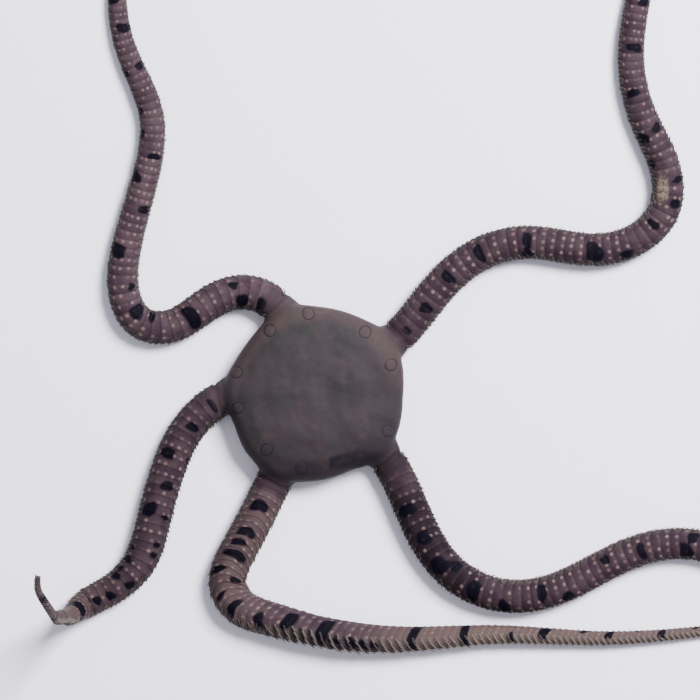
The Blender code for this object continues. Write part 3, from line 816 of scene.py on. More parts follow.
class Route:
    """The curve of one arm's underside, with its section and a frame at every point."""

    step = 0.25
    height_share = 0.8
    thinnest = 0.6
    flat_share = 0.05
    rolled_flat = 0.03
    under_power = 0.8
    beside = 0.01
    start = 8.2
    ring_pitch = (0.5, 0.19)
    last_ring = 0.5
    thin_from = 1.6
    settling_points = 24
    bow_full = 0.36
    bow_from = 10.0
    bow_fade = 5.0
    bow_end = 4.0
    bow_width = 5.0
    bow_power = 1.3
    marks_apart = (4.6, 7.0)
    marks_pitch = (0.45, 0.16)
    marks_aside = (0.08, 0.32)
    marks_reach = (0.24, 0.4)
    marks_rings = (0.9, 1.3)
    unmarked_end = 2.0

    def __init__(self, plan: ArmPlan, number: int) -> None:
        """Smooths the plan's points and carries a frame along them.

        Args:
            plan: The arm's own points, widths and turns.
            number: Which of the five arms it is, from 0.
        """
        self.plan = plan
        self.number = number
        self.points = self.smooth(plan.route)
        steps = np.linalg.norm(np.diff(self.points, axis=0), axis=1)
        self.reach = np.concatenate([[0.0], np.cumsum(steps)])
        self.length = float(self.reach[-1])
        tangents = np.gradient(self.points, self.reach, axis=0)
        self.tangents = [Vector(tangent).normalized() for tangent in tangents]
        up = Vector((0.0, 0.0, 1.0))
        self.ups = [up]
        for last, tangent in zip(self.tangents, self.tangents[1:]):
            up = last.rotation_difference(tangent) @ up
            up = (up - tangent * up.dot(tangent)).normalized()
            self.ups.append(up)

    def smooth(self, points: Sequence[tuple]) -> np.ndarray:
        """A natural cubic curve through the points, read at even steps, never below the floor.

        Args:
            points: The places that the curve passes.

        Returns:
            One row for each place along the curve.
        """
        knots = np.array(points, float)
        chords = np.linalg.norm(np.diff(knots, axis=0), axis=1)
        reach = np.concatenate([[0.0], np.cumsum(chords)])
        count = len(knots)
        system = np.eye(count)
        bends = np.zeros((count, 3))
        for i in range(1, count - 1):
            system[i, i - 1:i + 2] = chords[i - 1], 2 * (chords[i - 1] + chords[i]), chords[i]
            after = (knots[i + 1] - knots[i]) / chords[i]
            before = (knots[i] - knots[i - 1]) / chords[i - 1]
            bends[i] = 6 * (after - before)
        moments = np.linalg.solve(system, bends)
        places = np.linspace(0.0, reach[-1], int(reach[-1] / self.step))
        spans = np.clip(np.searchsorted(reach, places, side="right") - 1, 0, count - 2)
        width = chords[spans][:, None]
        late = ((places - reach[spans])[:, None]) / width
        early = 1.0 - late
        curve = early * knots[spans] + late * knots[spans + 1]
        pull = (early**3 - early) * moments[spans] + (late**3 - late) * moments[spans + 1]
        curve += pull * width**2 / 6
        curve[:, 2] = np.maximum(curve[:, 2], 0.0)
        return curve

    def frame(self, distance: float) -> tuple[Vector, Vector, Vector, Vector]:
        """The curve's frame at a distance along the arm.

        Args:
            distance: How far along.

        Returns:
            The place, the tangent, the way to the left and the way up.
        """
        distance = min(max(distance, 0.0), self.length)
        i = int(np.clip(np.searchsorted(self.reach, distance) - 1, 0, len(self.reach) - 2))
        part = (distance - self.reach[i]) / (self.reach[i + 1] - self.reach[i])
        place = Vector(self.points[i]).lerp(Vector(self.points[i + 1]), part)
        tangent = self.tangents[i].lerp(self.tangents[i + 1], part).normalized()
        up = self.ups[i].lerp(self.ups[i + 1], part)
        up = (up - tangent * up.dot(tangent)).normalized()
        return place, tangent, up.cross(tangent), up

    def width(self, distance: float) -> float:
        """The width of the arm's core at a distance."""
        return max(at_distance(self.plan.widths, distance), self.thinnest)

    def is_thin(self, distance: float) -> bool:
        """Whether the arm is a thin thread there, with plainer rings and fewer spines."""
        return self.width(distance) <= self.thin_from

    def turned(self, distance: float) -> float:
        """How far the arm lies on its side, from 0 to 1."""
        return abs(at_distance(self.plan.rolls, distance)) / ON_ITS_SIDE

    def bow(self, distance: float, round_: float) -> float:
        """How far a ring's plates reach ahead of its middle, which is where the arm faces up.

        Args:
            distance: How far along the arm the ring lies.
            round_: The share of the way round it.

        Returns:
            The reach along the arm.
        """
        top = 0.5 - at_distance(self.plan.rolls, distance) / 360.0
        away = min(abs((round_ - top + 0.5) % 1.0 - 0.5), self.bow_full)
        begun = min(max((distance - self.bow_from) / self.bow_fade, 0.0), 1.0)
        fade = begun * min((self.length - distance) / self.bow_end, 1.0)
        share = min(self.width(distance) / self.bow_width, 1.0)
        return self.plan.bow * fade * share * (away / 0.25) ** self.bow_power

    def outline(self, round_: float) -> Vector:
        """A point of the section as parts of its width and height.

        Args:
            round_: The share of the way round, from the middle of the underside past the left flank.

        Returns:
            The place across and up.
        """
        angle = math.tau * round_
        power = self.under_power if math.cos(angle) > 0.0 else 1.0
        x = 0.5 * signed_power(math.sin(angle), power)
        y = 0.5 - 0.5 * signed_power(math.cos(angle), power)
        return Vector((x, max(y - self.flat_share, 0.0) / (1.0 - self.flat_share)))

    def settled(self, distance: float) -> tuple[Matrix, Vector]:
        """How the section is rolled about its middle and set on the floor again.

        Args:
            distance: Where along the arm.

        Returns:
            The turn and the shift that follows it.
        """
        width = self.width(distance)
        roll = math.radians(at_distance(self.plan.rolls, distance))
        turn = Matrix.Rotation(roll, 2)
        middle = Vector((0.0, width * self.height_share / 2))
        shift = middle - turn @ middle
        if roll:
            ring = [self.outline(i / self.settling_points) for i in range(self.settling_points)]
            lowest = min((turn @ Vector((p.x * width, p.y * width * self.height_share))).y for p in ring)
            shift.y = -lowest - self.rolled_flat * width
        return turn, shift

    def section(self, distance: float, sides: int, size: float, broad: float = 1.0) -> list[Vector]:
        """The points of the skin round the arm, the first one repeated at the end.

        Args:
            distance: Where along the arm.
            sides: How many points go round it.
            size: The section's size next to the plain core's.
            broad: How much wider it is than that.

        Returns:
            The points in order.
        """
        width = self.width(distance)
        turn, shift = self.settled(distance)
        high = width * self.height_share * size
        ring = []
        for i in range(sides + 1):
            round_ = (i % sides) / sides
            flat = self.outline(round_)
            place, _, left, up = self.frame(distance + self.bow(distance, round_))
            spot = turn @ Vector((flat.x * width * size * broad, flat.y * high)) + shift
            corner = place + left * spot.x + up * max(spot.y, 0.0)
            corner.z = max(corner.z, 0.0)
            ring.append(corner)
        return ring

    def root(self, distance: float, round_: float) -> tuple[Vector, Vector, Vector]:
        """A place on the skin, the way out of it, and the arm's tangent there.

        Args:
            distance: Where along the arm.
            round_: Where round it.

        Returns:
            Place, way out and tangent.
        """
        place, tangent, left, up = self.frame(distance + self.bow(distance, round_))
        width = self.width(distance)
        turn, shift = self.settled(distance)
        flat, ahead = self.outline(round_), self.outline(round_ + self.beside)
        across = Vector((ahead.x - flat.x, (ahead.y - flat.y) * self.height_share)).normalized()
        spot = turn @ Vector((flat.x * width, flat.y * width * self.height_share)) + shift
        out = turn @ Vector((across.y, -across.x))
        return place + left * spot.x + up * spot.y, left * out.x + up * out.y, tangent

    def rings(self) -> list[float]:
        """Where the rings of plates begin, closer together as the arm grows thin.

        Returns:
            Their distances along the arm, and its end.
        """
        marks = [self.start]
        while marks[-1] < self.length - self.last_ring:
            last = marks[-1]
            marks.append(last + self.pitch(last) * at_distance(self.plan.closeness, last))
        return marks[:-1] + [self.length]

    def pitch(self, distance: float) -> float:
        """How far apart the rings of plates stand on an arm that isn't packed closer."""
        return self.ring_pitch[0] + self.ring_pitch[1] * self.width(distance)

    def marks(self) -> list[Mark]:
        """The arm's dark blotches, carried on beyond the stretch that the plan marks.

        Returns:
            The blotches in order.
        """
        made = list(self.plan.marks)
        draw = np.random.default_rng(SEED + self.number)
        distance, side = made[-1].distance, 1.0
        while True:
            pitch = self.marks_pitch[0] + self.marks_pitch[1] * self.width(distance)
            distance += draw.uniform(*self.marks_apart) * pitch
            if distance > self.length - self.unmarked_end:
                return made
            width = self.width(distance)
            side = -side
            reach = width * draw.uniform(*self.marks_reach)
            left = side * draw.uniform(*self.marks_aside) * width
            made.append(Mark(distance, left, draw.uniform(*self.marks_rings), reach))


@dataclass(frozen=True)
class Unwrap:
    """Where the skin lies on its flat map: a strip for every arm, a square for each side of the disc."""

    strip: float = 0.106
    pitch: float = 0.115
    longest: float = 156.0
    edge: float = 0.006
    disc_from: float = 0.59
    disc_side: float = 0.4
    disc_gap: float = 0.02
    disc_reach: float = 20.0
    disc_high: float = 7.0
    spread: float = 0.6
    spread_full: float = 10.0
    rings_apart: float = 200.0

    def arm(self, number: int, distance: float, round_: float) -> tuple[float, float]:
        """The place of a point of an arm on the map.

        Args:
            number: Which arm, from 0.
            distance: How far along it, in millimetres.
            round_: The share of the way round it.

        Returns:
            Across and up the map.
        """
        across = self.edge + (1.0 - 2.0 * self.edge) * distance / self.longest
        return across, self.edge + self.pitch * number + self.strip * round_

    def disc(self, place: Vector, upper: bool) -> tuple[float, float]:
        """The place of a point of the disc on the map, spread so that its steep rim keeps its width.

        Args:
            place: The point, measured from the disc's middle.
            upper: Whether it belongs to the upper side.

        Returns:
            Across and up the map.
        """
        flat = Vector((place.x, place.y))
        fall = (self.disc_high - place.z) if upper else place.z
        if flat.length > MERGED_WITHIN:
            flat += flat.normalized() * (self.spread * fall * min(1.0, flat.length / self.spread_full))
        half = self.disc_side / 2
        left = self.edge + (0.0 if upper else self.disc_side + self.disc_gap)
        return (left + half * (1.0 + flat.x / self.disc_reach),
                self.disc_from + half * (1.0 + flat.y / self.disc_reach))


UNWRAP = Unwrap()


def grid_skin(rows: Sequence[Sequence[Vector]], numbers: dict[str, np.ndarray] | None = None,
              ring_map: np.ndarray | None = None) -> bmesh.types.BMesh:
    """A closed skin over a row of rings, from one grid that is wrapped and merged.

    Args:
        rows: Rings of points whose last point repeats the first.
        numbers: Values to keep at the points, by their names.
        ring_map: A place on the map "Rings" for every point.

    Returns:
        The skin, in millimetres.
    """
    bm = bmesh.new()
    layers = {name: bm.verts.layers.float.new(name) for name in (numbers or {})}
    rings = bm.loops.layers.uv.new("Rings") if ring_map is not None else None
    bmesh.ops.create_grid(bm, x_segments=len(rows[0]) - 1, y_segments=len(rows) - 1, size=0.5)
    bm.verts.ensure_lookup_table()
    bm.verts.index_update()
    for i, corner in enumerate(corner for row in rows for corner in row):
        bm.verts[i].co = corner
        for name, layer in layers.items():
            bm.verts[i][layer] = float(numbers[name][i])
    if rings is not None:
        for face in bm.faces:
            for loop in face.loops:
                loop[rings].uv = ring_map[loop.vert.index]
    bmesh.ops.remove_doubles(bm, verts=bm.verts[:], dist=MERGED_WITHIN)
    ends = [edge for edge in bm.edges if edge.is_boundary]
    if ends:
        bmesh.ops.holes_fill(bm, edges=ends, sides=0)
    bmesh.ops.recalc_face_normals(bm, faces=bm.faces[:])
    return bm


def new_object(name: str, bm: bmesh.types.BMesh) -> bpy.types.Object:
    """An object in the scene from a bmesh, which is used up.

    Args:
        name: The object's name.
        bm: Its shape.

    Returns:
        The object.
    """
    mesh = bpy.data.meshes.new(name)
    bm.to_mesh(mesh)
    bm.free()
    made = bpy.data.objects.new(name, mesh)
    bpy.context.scene.collection.objects.link(made)
    return made


@contextmanager
def edited(mesh: bpy.types.Mesh) -> Iterator[bmesh.types.BMesh]:
    """Opens a mesh as a bmesh and writes it back at the end.

    Args:
        mesh: The mesh to work on.

    Yields:
        The bmesh.
    """
    bm = bmesh.new()
    bm.from_mesh(mesh)
    yield bm
    bm.to_mesh(mesh)
    bm.free()


def smooth(bm: bmesh.types.BMesh, verts: list[bmesh.types.BMVert], times: int) -> None:
    """Smooths some points of a shape.

    Args:
        bm: The shape.
        verts: The points.
        times: How often.
    """
    for _ in range(times):
        bmesh.ops.smooth_vert(bm, verts=verts, factor=0.5, use_axis_x=True, use_axis_y=True,
                              use_axis_z=True)


def applied(made: bpy.types.Object) -> None:
    """Turns an object's modifiers into its mesh.

    Args:
        made: The object.
    """
    graph = bpy.context.evaluated_depsgraph_get()
    mesh = bpy.data.meshes.new_from_object(made.evaluated_get(graph), preserve_all_data_layers=True,
                                           depsgraph=graph)
    made.modifiers.clear()
    made.data = mesh


def boolean(made: bpy.types.Object, others: Sequence[bpy.types.Object], operation: str,
            solver: str = "EXACT") -> None:
    """Joins or cuts an object with others, which are then removed.

    Args:
        made: The object that stays.
        others: The closed objects that it is joined or cut with.
        operation: "UNION" or "DIFFERENCE".
        solver: Blender's name for the way it is worked out.
    """
    pieces = bpy.data.collections.new("pieces")
    bpy.context.scene.collection.children.link(pieces)
    for other in others:
        pieces.objects.link(other)
        bpy.context.scene.collection.objects.unlink(other)
    modifier = made.modifiers.new("join", "BOOLEAN")
    modifier.operation = operation
    modifier.solver = solver
    modifier.operand_type = "COLLECTION"
    modifier.collection = pieces
    applied(made)
    for other in others:
        bpy.data.objects.remove(other)
    bpy.data.collections.remove(pieces)


def finished(made: bpy.types.Object, middle: Vector, slot: Slot, nodes: Sequence[str],
             materials: Sequence[bpy.types.Material], sharp: float = 60.0) -> bpy.types.Object:
    """Puts a piece in its place in metres, hangs it from the root body and hides the CAD nodes it stands
    for.

    Args:
        made: The piece, in millimetres round the disc's middle.
        middle: The place of the disc's middle.
        slot: The record's material slot, which is not used.
        nodes: The CAD nodes that it stands for.
        materials: Its materials in order.
        sharp: The angle in degrees from which an edge looks sharp.

    Returns:
        The piece.
    """
    made.data.transform(Matrix.Translation(middle) @ Matrix.Scale(MM, 4))
    sides = np.zeros(len(made.data.polygons), np.int32)
    made.data.polygons.foreach_get("material_index", sides)
    made.data.materials.clear()
    for material in materials:
        made.data.materials.append(material)
    made.data.polygons.foreach_set("material_index", np.minimum(sides, len(materials) - 1))
    made.data.shade_smooth()
    made.data.set_sharp_from_angle(angle=math.radians(sharp))
    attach(made, ROOT_BODY)
    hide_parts(*nodes)
    return made


def node_names(plan: ArmPlan) -> list[str]:
    """The CAD nodes of one arm."""
    return [f"arm_{plan.name}_{number}" for number in range(1, plan.lengths + 1)]


@dataclass
class Disc:
    """The soft disc with the sockets of the arms, its mouth and its slits."""

    spokes: int = 120
    levels: tuple = ((0.0, 0.0), (0.5, 0.0), (0.84, 0.0), (0.93, 0.5), (0.985, 1.6), (1.0, 3.0),
                     (0.975, 4.4), (0.9, 5.5), (0.75, 6.3), (0.52, 6.78), (0.27, 6.95), (0.0, 7.0))
    side_radii: tuple = ((15, 13.1), (74, 12.7), (145, 12.9), (202, 13.3), (218, 13.9), (255, 13.4),
                         (271, 13.2), (292, 12.6), (338, 13.1), (357, 12.75))
    mean_radius: float = 13.0
    outline_fade: float = 0.1
    shoulder_rise: float = 1.0
    shoulder_spread: float = 15.0
    sockets: tuple = ((0.6, 1.72, 1.52), (3.2, 1.55, 1.38), (5.6, 1.36, 1.2), (7.6, 1.18, 1.08),
                      (9.0, 1.06, 1.02), (9.9, 0.98, 0.98), (10.6, 0.93, 0.93))
    socket_sides: int = 32
    mouth_radius: float = 4.6
    mouth_depth: float = 2.2
    mouth_sides: int = 48
    slit: tuple = (3.0, 0.5, 0.8)
    slit_from: float = 7.4
    slit_offset: float = 3.3
    voxel: float = 0.26
    smoothings: int = 8
    upper_from: float = 2.5
    upper_rise: float = 2.0
    swells: tuple = ((0.28, 0.2), (0.8, 0.05))
    sole: float = 0.14
    shield_raised: float = 0.05
    shield_half: tuple = (0.92, 0.86)
    shield_face: float = 0.85
    shield_dip: float = 0.2
    furrow_at: float = 1.1
    furrow_width: float = 0.16
    furrow_depth: float = 0.9
    furrow_to: float = 1.5

    def radius(self, bearing: float) -> float:
        """The disc's outline: nearly flat sides between the arms and a shoulder at each of them.

        Args:
            bearing: The bearing from the disc's middle, in degrees.

        Returns:
            How far out the outline lies there.
        """
        bearing %= 360.0
        last, first = self.side_radii[-1], self.side_radii[0]
        marks = [(last[0] - 360.0, last[1]), *self.side_radii, (first[0] + 360.0, first[1])]
        radius = at_distance(marks, bearing)
        for plan in ARMS:
            away = (bearing - plan.bearing + 180.0) % 360.0 - 180.0
            radius += self.shoulder_rise * math.exp(-(away / self.shoulder_spread) ** 2)
        return radius

    def shell(self) -> bpy.types.Object:
        """The disc without its arms.

        Returns:
            The shell, in millimetres.
        """
        rows = []
        for share, height in self.levels:
            row = []
            for i in range(self.spokes + 1):
                bearing = 360.0 * (i % self.spokes) / self.spokes
                fullness = (self.radius(bearing) - self.mean_radius) * min(1.0, share + self.outline_fade)
                row.append(polar(share * (self.mean_radius + fullness), bearing, height))
            rows.append(row)
        return new_object("disc_shell", grid_skin(rows))

    def cutters(self, routes: Sequence[Route]) -> list[bpy.types.Object]:
        """The mouth's pocket and the genital slits.

        Args:
            routes: The arms' routes, which have a slit on either side.

        Returns:
            The closed objects to cut away.
        """
        bm = bmesh.new()
        bmesh.ops.create_cone(bm, cap_ends=True, segments=self.mouth_sides, radius1=self.mouth_radius,
                              radius2=self.mouth_radius, depth=2 * self.mouth_depth)
        made = [new_object("mouth_cutter", bm)]
        size = Matrix.Diagonal((*self.slit, 1.0))
        for route in routes:
            outward = polar(1.0, route.plan.bearing)
            across = Vector((-outward.y, outward.x, 0.0))
            turn = Matrix((outward, across, Vector((0, 0, 1)))).transposed().to_4x4()
            for side in (-1, 1):
                middle = outward * (self.slit_from + self.slit[0] / 2) + across * (side * self.slit_offset)
                bm = bmesh.new()
                bmesh.ops.create_cube(bm, size=1.0, matrix=Matrix.Translation(middle) @ turn @ size)
                made.append(new_object("slit_cutter", bm))
        return made

    def build(self, routes: Sequence[Route]) -> bpy.types.Object:
        """The disc as one soft even mesh, open for nothing but its mouth and slits.

        Args:
            routes: The arms' routes, whose sockets the disc's skin covers.

        Returns:
            The disc, in millimetres.
        """
        made = self.shell()
        sockets = []
        for route in routes:
            rows = [route.section(distance, self.socket_sides, high, wide / high)
                    for distance, wide, high in self.sockets]
            sockets.append(new_object("socket", grid_skin(rows)))
        boolean(made, sockets, "UNION")
        boolean(made, self.cutters(routes), "DIFFERENCE")
        remesh = made.modifiers.new("even", "REMESH")
        remesh.mode = "VOXEL"
        remesh.voxel_size = self.voxel
        applied(made)
        with edited(made.data) as bm:
            bm.loops.layers.uv.new("Rings")
            for name in SKIN_NUMBERS:
                bm.verts.layers.float.new(name)
            base = bm.verts.layers.float["base"]
            for vert in bm.verts:
                vert[base] = 1.0
            smooth(bm, bm.verts[:], self.smoothings)
            self.soften(bm)
        return made

    def soften(self, bm: bmesh.types.BMesh) -> None:
        """Adds the slow swells and the low oval shields of the upper side, and flattens the underside.

        Args:
            bm: The disc's mesh.
        """
        for vert in bm.verts:
            place = vert.co
            if place.z > self.upper_from:
                share = min(1.0, (place.z - self.upper_from) / self.upper_rise)
                place.z += sum(noise.noise(place * scale) * high for scale, high in self.swells) * share
                place.z += self.shield_raised * self.shield(place) * share
            elif place.z < self.sole:
                place.z = 0.0

    def shield(self, place: Vector) -> float:
        """How far a point lies on a radial shield.

        Args:
            place: The point, measured from the disc's middle.

        Returns:
            About 1 on the shield's face, less than 0 in its furrow and 0 off it.
        """
        for radius, bearing in SHIELD_PLACES:
            away = place.xy - polar(radius, bearing).xy
            if away.length < 2.0 * self.shield_half[0]:
                outward = polar(1.0, bearing)
                along = away.dot(outward.xy) / self.shield_half[0]
                across = away.cross(outward.xy) / self.shield_half[1]
                ring = math.hypot(along, across)
                if ring < self.shield_face:
                    return 1.0 - self.shield_dip * ring * ring
                if ring < self.furrow_to:
                    aside = (ring - self.furrow_at) / self.furrow_width
                    return -self.furrow_depth * math.exp(-(aside ** 2))
        return 0.0


class Station(NamedTuple):
    """One ring of points of an arm's skin."""

    distance: float
    ring: int
    part: float
    size: float
    broad: float


@dataclass
class Skin:
    """The whole animal's skin in one mesh: the disc and the ringed cores of the arms."""

    sides: int = 24
    steps: tuple = ((0.0, 0.991, 0.993), (0.13, 0.9965, 0.995), (0.48, 1.001, 1.0), (0.78, 1.0045, 1.01),
                    (0.93, 1.0, 1.007))
    steps_thin: tuple = ((0.0, 0.985, 0.993), (0.3, 0.995, 1.0), (0.86, 1.004, 1.01))
    drape: tuple = (8.8, 12.2)
    colour_drape: tuple = (9.9, 12.4)
    drape_wider: float = 0.05
    plain_end: float = 1.0
    blend_reach: int = 4
    blend_times: int = 18
    upper_normal: float = -0.35
    upper_from: float = 0.9

    def stations(self, route: Route) -> list[Station]:
        """Where an arm's skin has its rings of points, a few on every ring of plates.

        Args:
            route: The arm's route.

        Returns:
            The stations in order.
        """
        starts = route.rings()
        made = []
        for ring, (near, far) in enumerate(zip(starts, starts[1:])):
            for part, size, broad in self.steps_thin if route.is_thin(near) else self.steps:
                made.append(Station(near + (far - near) * part, ring, part, size, broad))
        return made

    def arm(self, route: Route) -> bpy.types.Object:
        """One arm's ringed core, with its dark blotches kept at its points.

        Args:
            route: The arm's route.

        Returns:
            The core, in millimetres.
        """
        stations = self.stations(route)
        distances = [station.distance for station in stations]
        bases, colour_bases = (
            [1.0 - float(np.clip((s - near) / (far - near), 0.0, 1.0)) for s in distances]
            for near, far in (self.drape, self.colour_drape)
        )
        rows = []
        for (s, _, _, size, broad), base in zip(stations, bases):
            wider = self.drape_wider * base if s > route.start + self.plain_end else 0.0
            rows.append(route.section(s, self.sides, 1.0 + (size - 1.0) * (1.0 - base), broad + wider))
        rounds = np.linspace(0.0, 1.0, self.sides + 1)
        count = len(rounds)
        ring_map = np.zeros((len(stations) * count, 2))
        ring_map[:, 0] = np.tile(rounds, len(stations))
        offset = UNWRAP.rings_apart * route.number
        ring_map[:, 1] = np.repeat([offset + ring + part for _, ring, part, _, _ in stations], count)
        blotches = Blotches(route)
        numbers = {
            "dark": np.concatenate([blotches.row(s, rounds) for s in distances]),
            "tan": np.repeat([at_distance(route.plan.tan, s) for s in distances], count),
            "scar": np.concatenate([blotches.scar(s, rounds) for s in distances]),
            "base": np.repeat(colour_bases, count),
            # How much painted shade darkens each stretch of the arm
            "painted_shade": np.repeat([at_distance(route.plan.painted_shade, s) for s in distances], count),
            "turned": np.repeat([route.turned(s) for s in distances], count),
        }
        made = new_object("arm_core", grid_skin(rows, numbers, ring_map))
        for name in SKIN_SIDES:
            made.data.materials.append(bpy.data.materials.new(name))
        made.data.polygons.foreach_set("material_index", [1] * len(made.data.polygons))
        return made

    def build(self, disc: bpy.types.Object, routes: Sequence[Route]) -> bpy.types.Object:
        """Joins the disc and the arms and unwraps the whole.

        Args:
            disc: The disc's own mesh.
            routes: The arms' routes.

        Returns:
            The skin, in millimetres.
        """
        for name in SKIN_SIDES:
            disc.data.materials.append(bpy.data.materials.new(name))
        boolean(disc, [self.arm(route) for route in routes], "UNION", "MANIFOLD")
        disc.name = "skin"
        self.blend(disc.data)
        self.unwrap(disc.data, routes)
        return disc

    def blend(self, mesh: bpy.types.Mesh) -> None:
        """Smooths the skin where the arms leave the disc, so that no edge shows there.

        Args:
            mesh: The skin's mesh, whose faces' material numbers tell the disc from the arms.
        """
        with edited(mesh) as bm:
            near = {vert for vert in bm.verts if len({face.material_index for face in vert.link_faces}) > 1}
            base = bm.verts.layers.float["base"]
            for vert in near:
                vert[base] = 1.0
            for _ in range(self.blend_reach):
                near |= {edge.other_vert(vert) for vert in near for edge in vert.link_edges}
            smooth(bm, list(near), self.blend_times)

    def unwrap(self, mesh: bpy.types.Mesh, routes: Sequence[Route]) -> None:
        """Adds the flat map of the skin, from the rings' own map and the disc's shape.

        Args:
            mesh: The skin's mesh.
            routes: The arms' routes.
        """
        starts = [route.rings() for route in routes]
        with edited(mesh) as bm:
            rings = bm.loops.layers.uv["Rings"]
            flat = bm.loops.layers.uv.new("OFBake")
            for face in bm.faces:
                upper = face.normal.z > self.upper_normal and face.calc_center_median().z > self.upper_from
                for loop in face.loops:
                    if face.material_index == 0:
                        loop[flat].uv = UNWRAP.disc(loop.vert.co, upper)
                        continue
                    round_, ring = loop[rings].uv
                    number = min(int(ring // UNWRAP.rings_apart), len(routes) - 1)
                    ring -= number * UNWRAP.rings_apart
                    distance = float(np.interp(ring, range(len(starts[number])), starts[number]))
                    loop[flat].uv = UNWRAP.arm(number, distance, round_)


class Blotches:
    """The dark blotches of one arm, each with its own ragged outline."""

    seed = SEED + 40
    length_share = 0.66
    lobes = ((2.0, 0.11), (3.0, 0.1), (5.0, 0.05))
    squareness = 2.6
    farthest = 2.0
    widths_round = 2.6
    scar_full = 1.3

    def __init__(self, route: Route) -> None:
        """Draws the outlines.

        Args:
            route: The arm's route.
        """
        self.route = route
        self.marks = route.marks()
        draw = np.random.default_rng(self.seed + route.number)
        self.turns = draw.uniform(0.0, math.tau, (len(self.marks), len(self.lobes)))

    def left(self, distance: float, rounds: np.ndarray) -> np.ndarray:
        """How far to the arm's left the points round it lie, in millimetres round its upper side."""
        return -(rounds - 0.5) * self.route.width(distance) * self.widths_round

    def row(self, distance: float, rounds: np.ndarray) -> np.ndarray:
        """How dark the points round the arm are.

        Args:
            distance: How far along the arm.
            rounds: Shares of the way round.

        Returns:
            Values from 0 to 1, with the edge of a blotch at one half.
        """
        left = self.left(distance, rounds)
        pitch = self.route.pitch(distance)
        dark = np.zeros(len(rounds))
        for mark, turns in zip(self.marks, self.turns):
            along = (distance - mark.distance) / (mark.rings * self.length_share * pitch)
            if abs(along) > self.farthest:
                continue
            across = (left - mark.left) / mark.reach
            angle = np.arctan2(across, along)
            reach = 1.0 + sum(size * np.sin(folds * angle + turn)
                              for (folds, size), turn in zip(self.lobes, turns))
            away = np.abs(along) ** self.squareness + np.abs(across) ** self.squareness
            inside = 1.0 - away / (2.0 * reach ** self.squareness)
            dark = np.maximum(dark, np.clip(inside, 0.0, 1.0))
        return dark

    def scar(self, distance: float, rounds: np.ndarray) -> np.ndarray:
        """How pale an old scar leaves the points round the arm.

        Args:
            distance: How far along the arm.
            rounds: Shares of the way round.

        Returns:
            Values from 0 to 1.
        """
        mark = self.route.plan.scar
        if mark is None:
            return np.zeros(len(rounds))
        along = (distance - mark.distance) / mark.rings
        across = (self.left(distance, rounds) - mark.left) / mark.reach
        return np.clip(self.scar_full - (along * along + across * across), 0.0, 1.0)


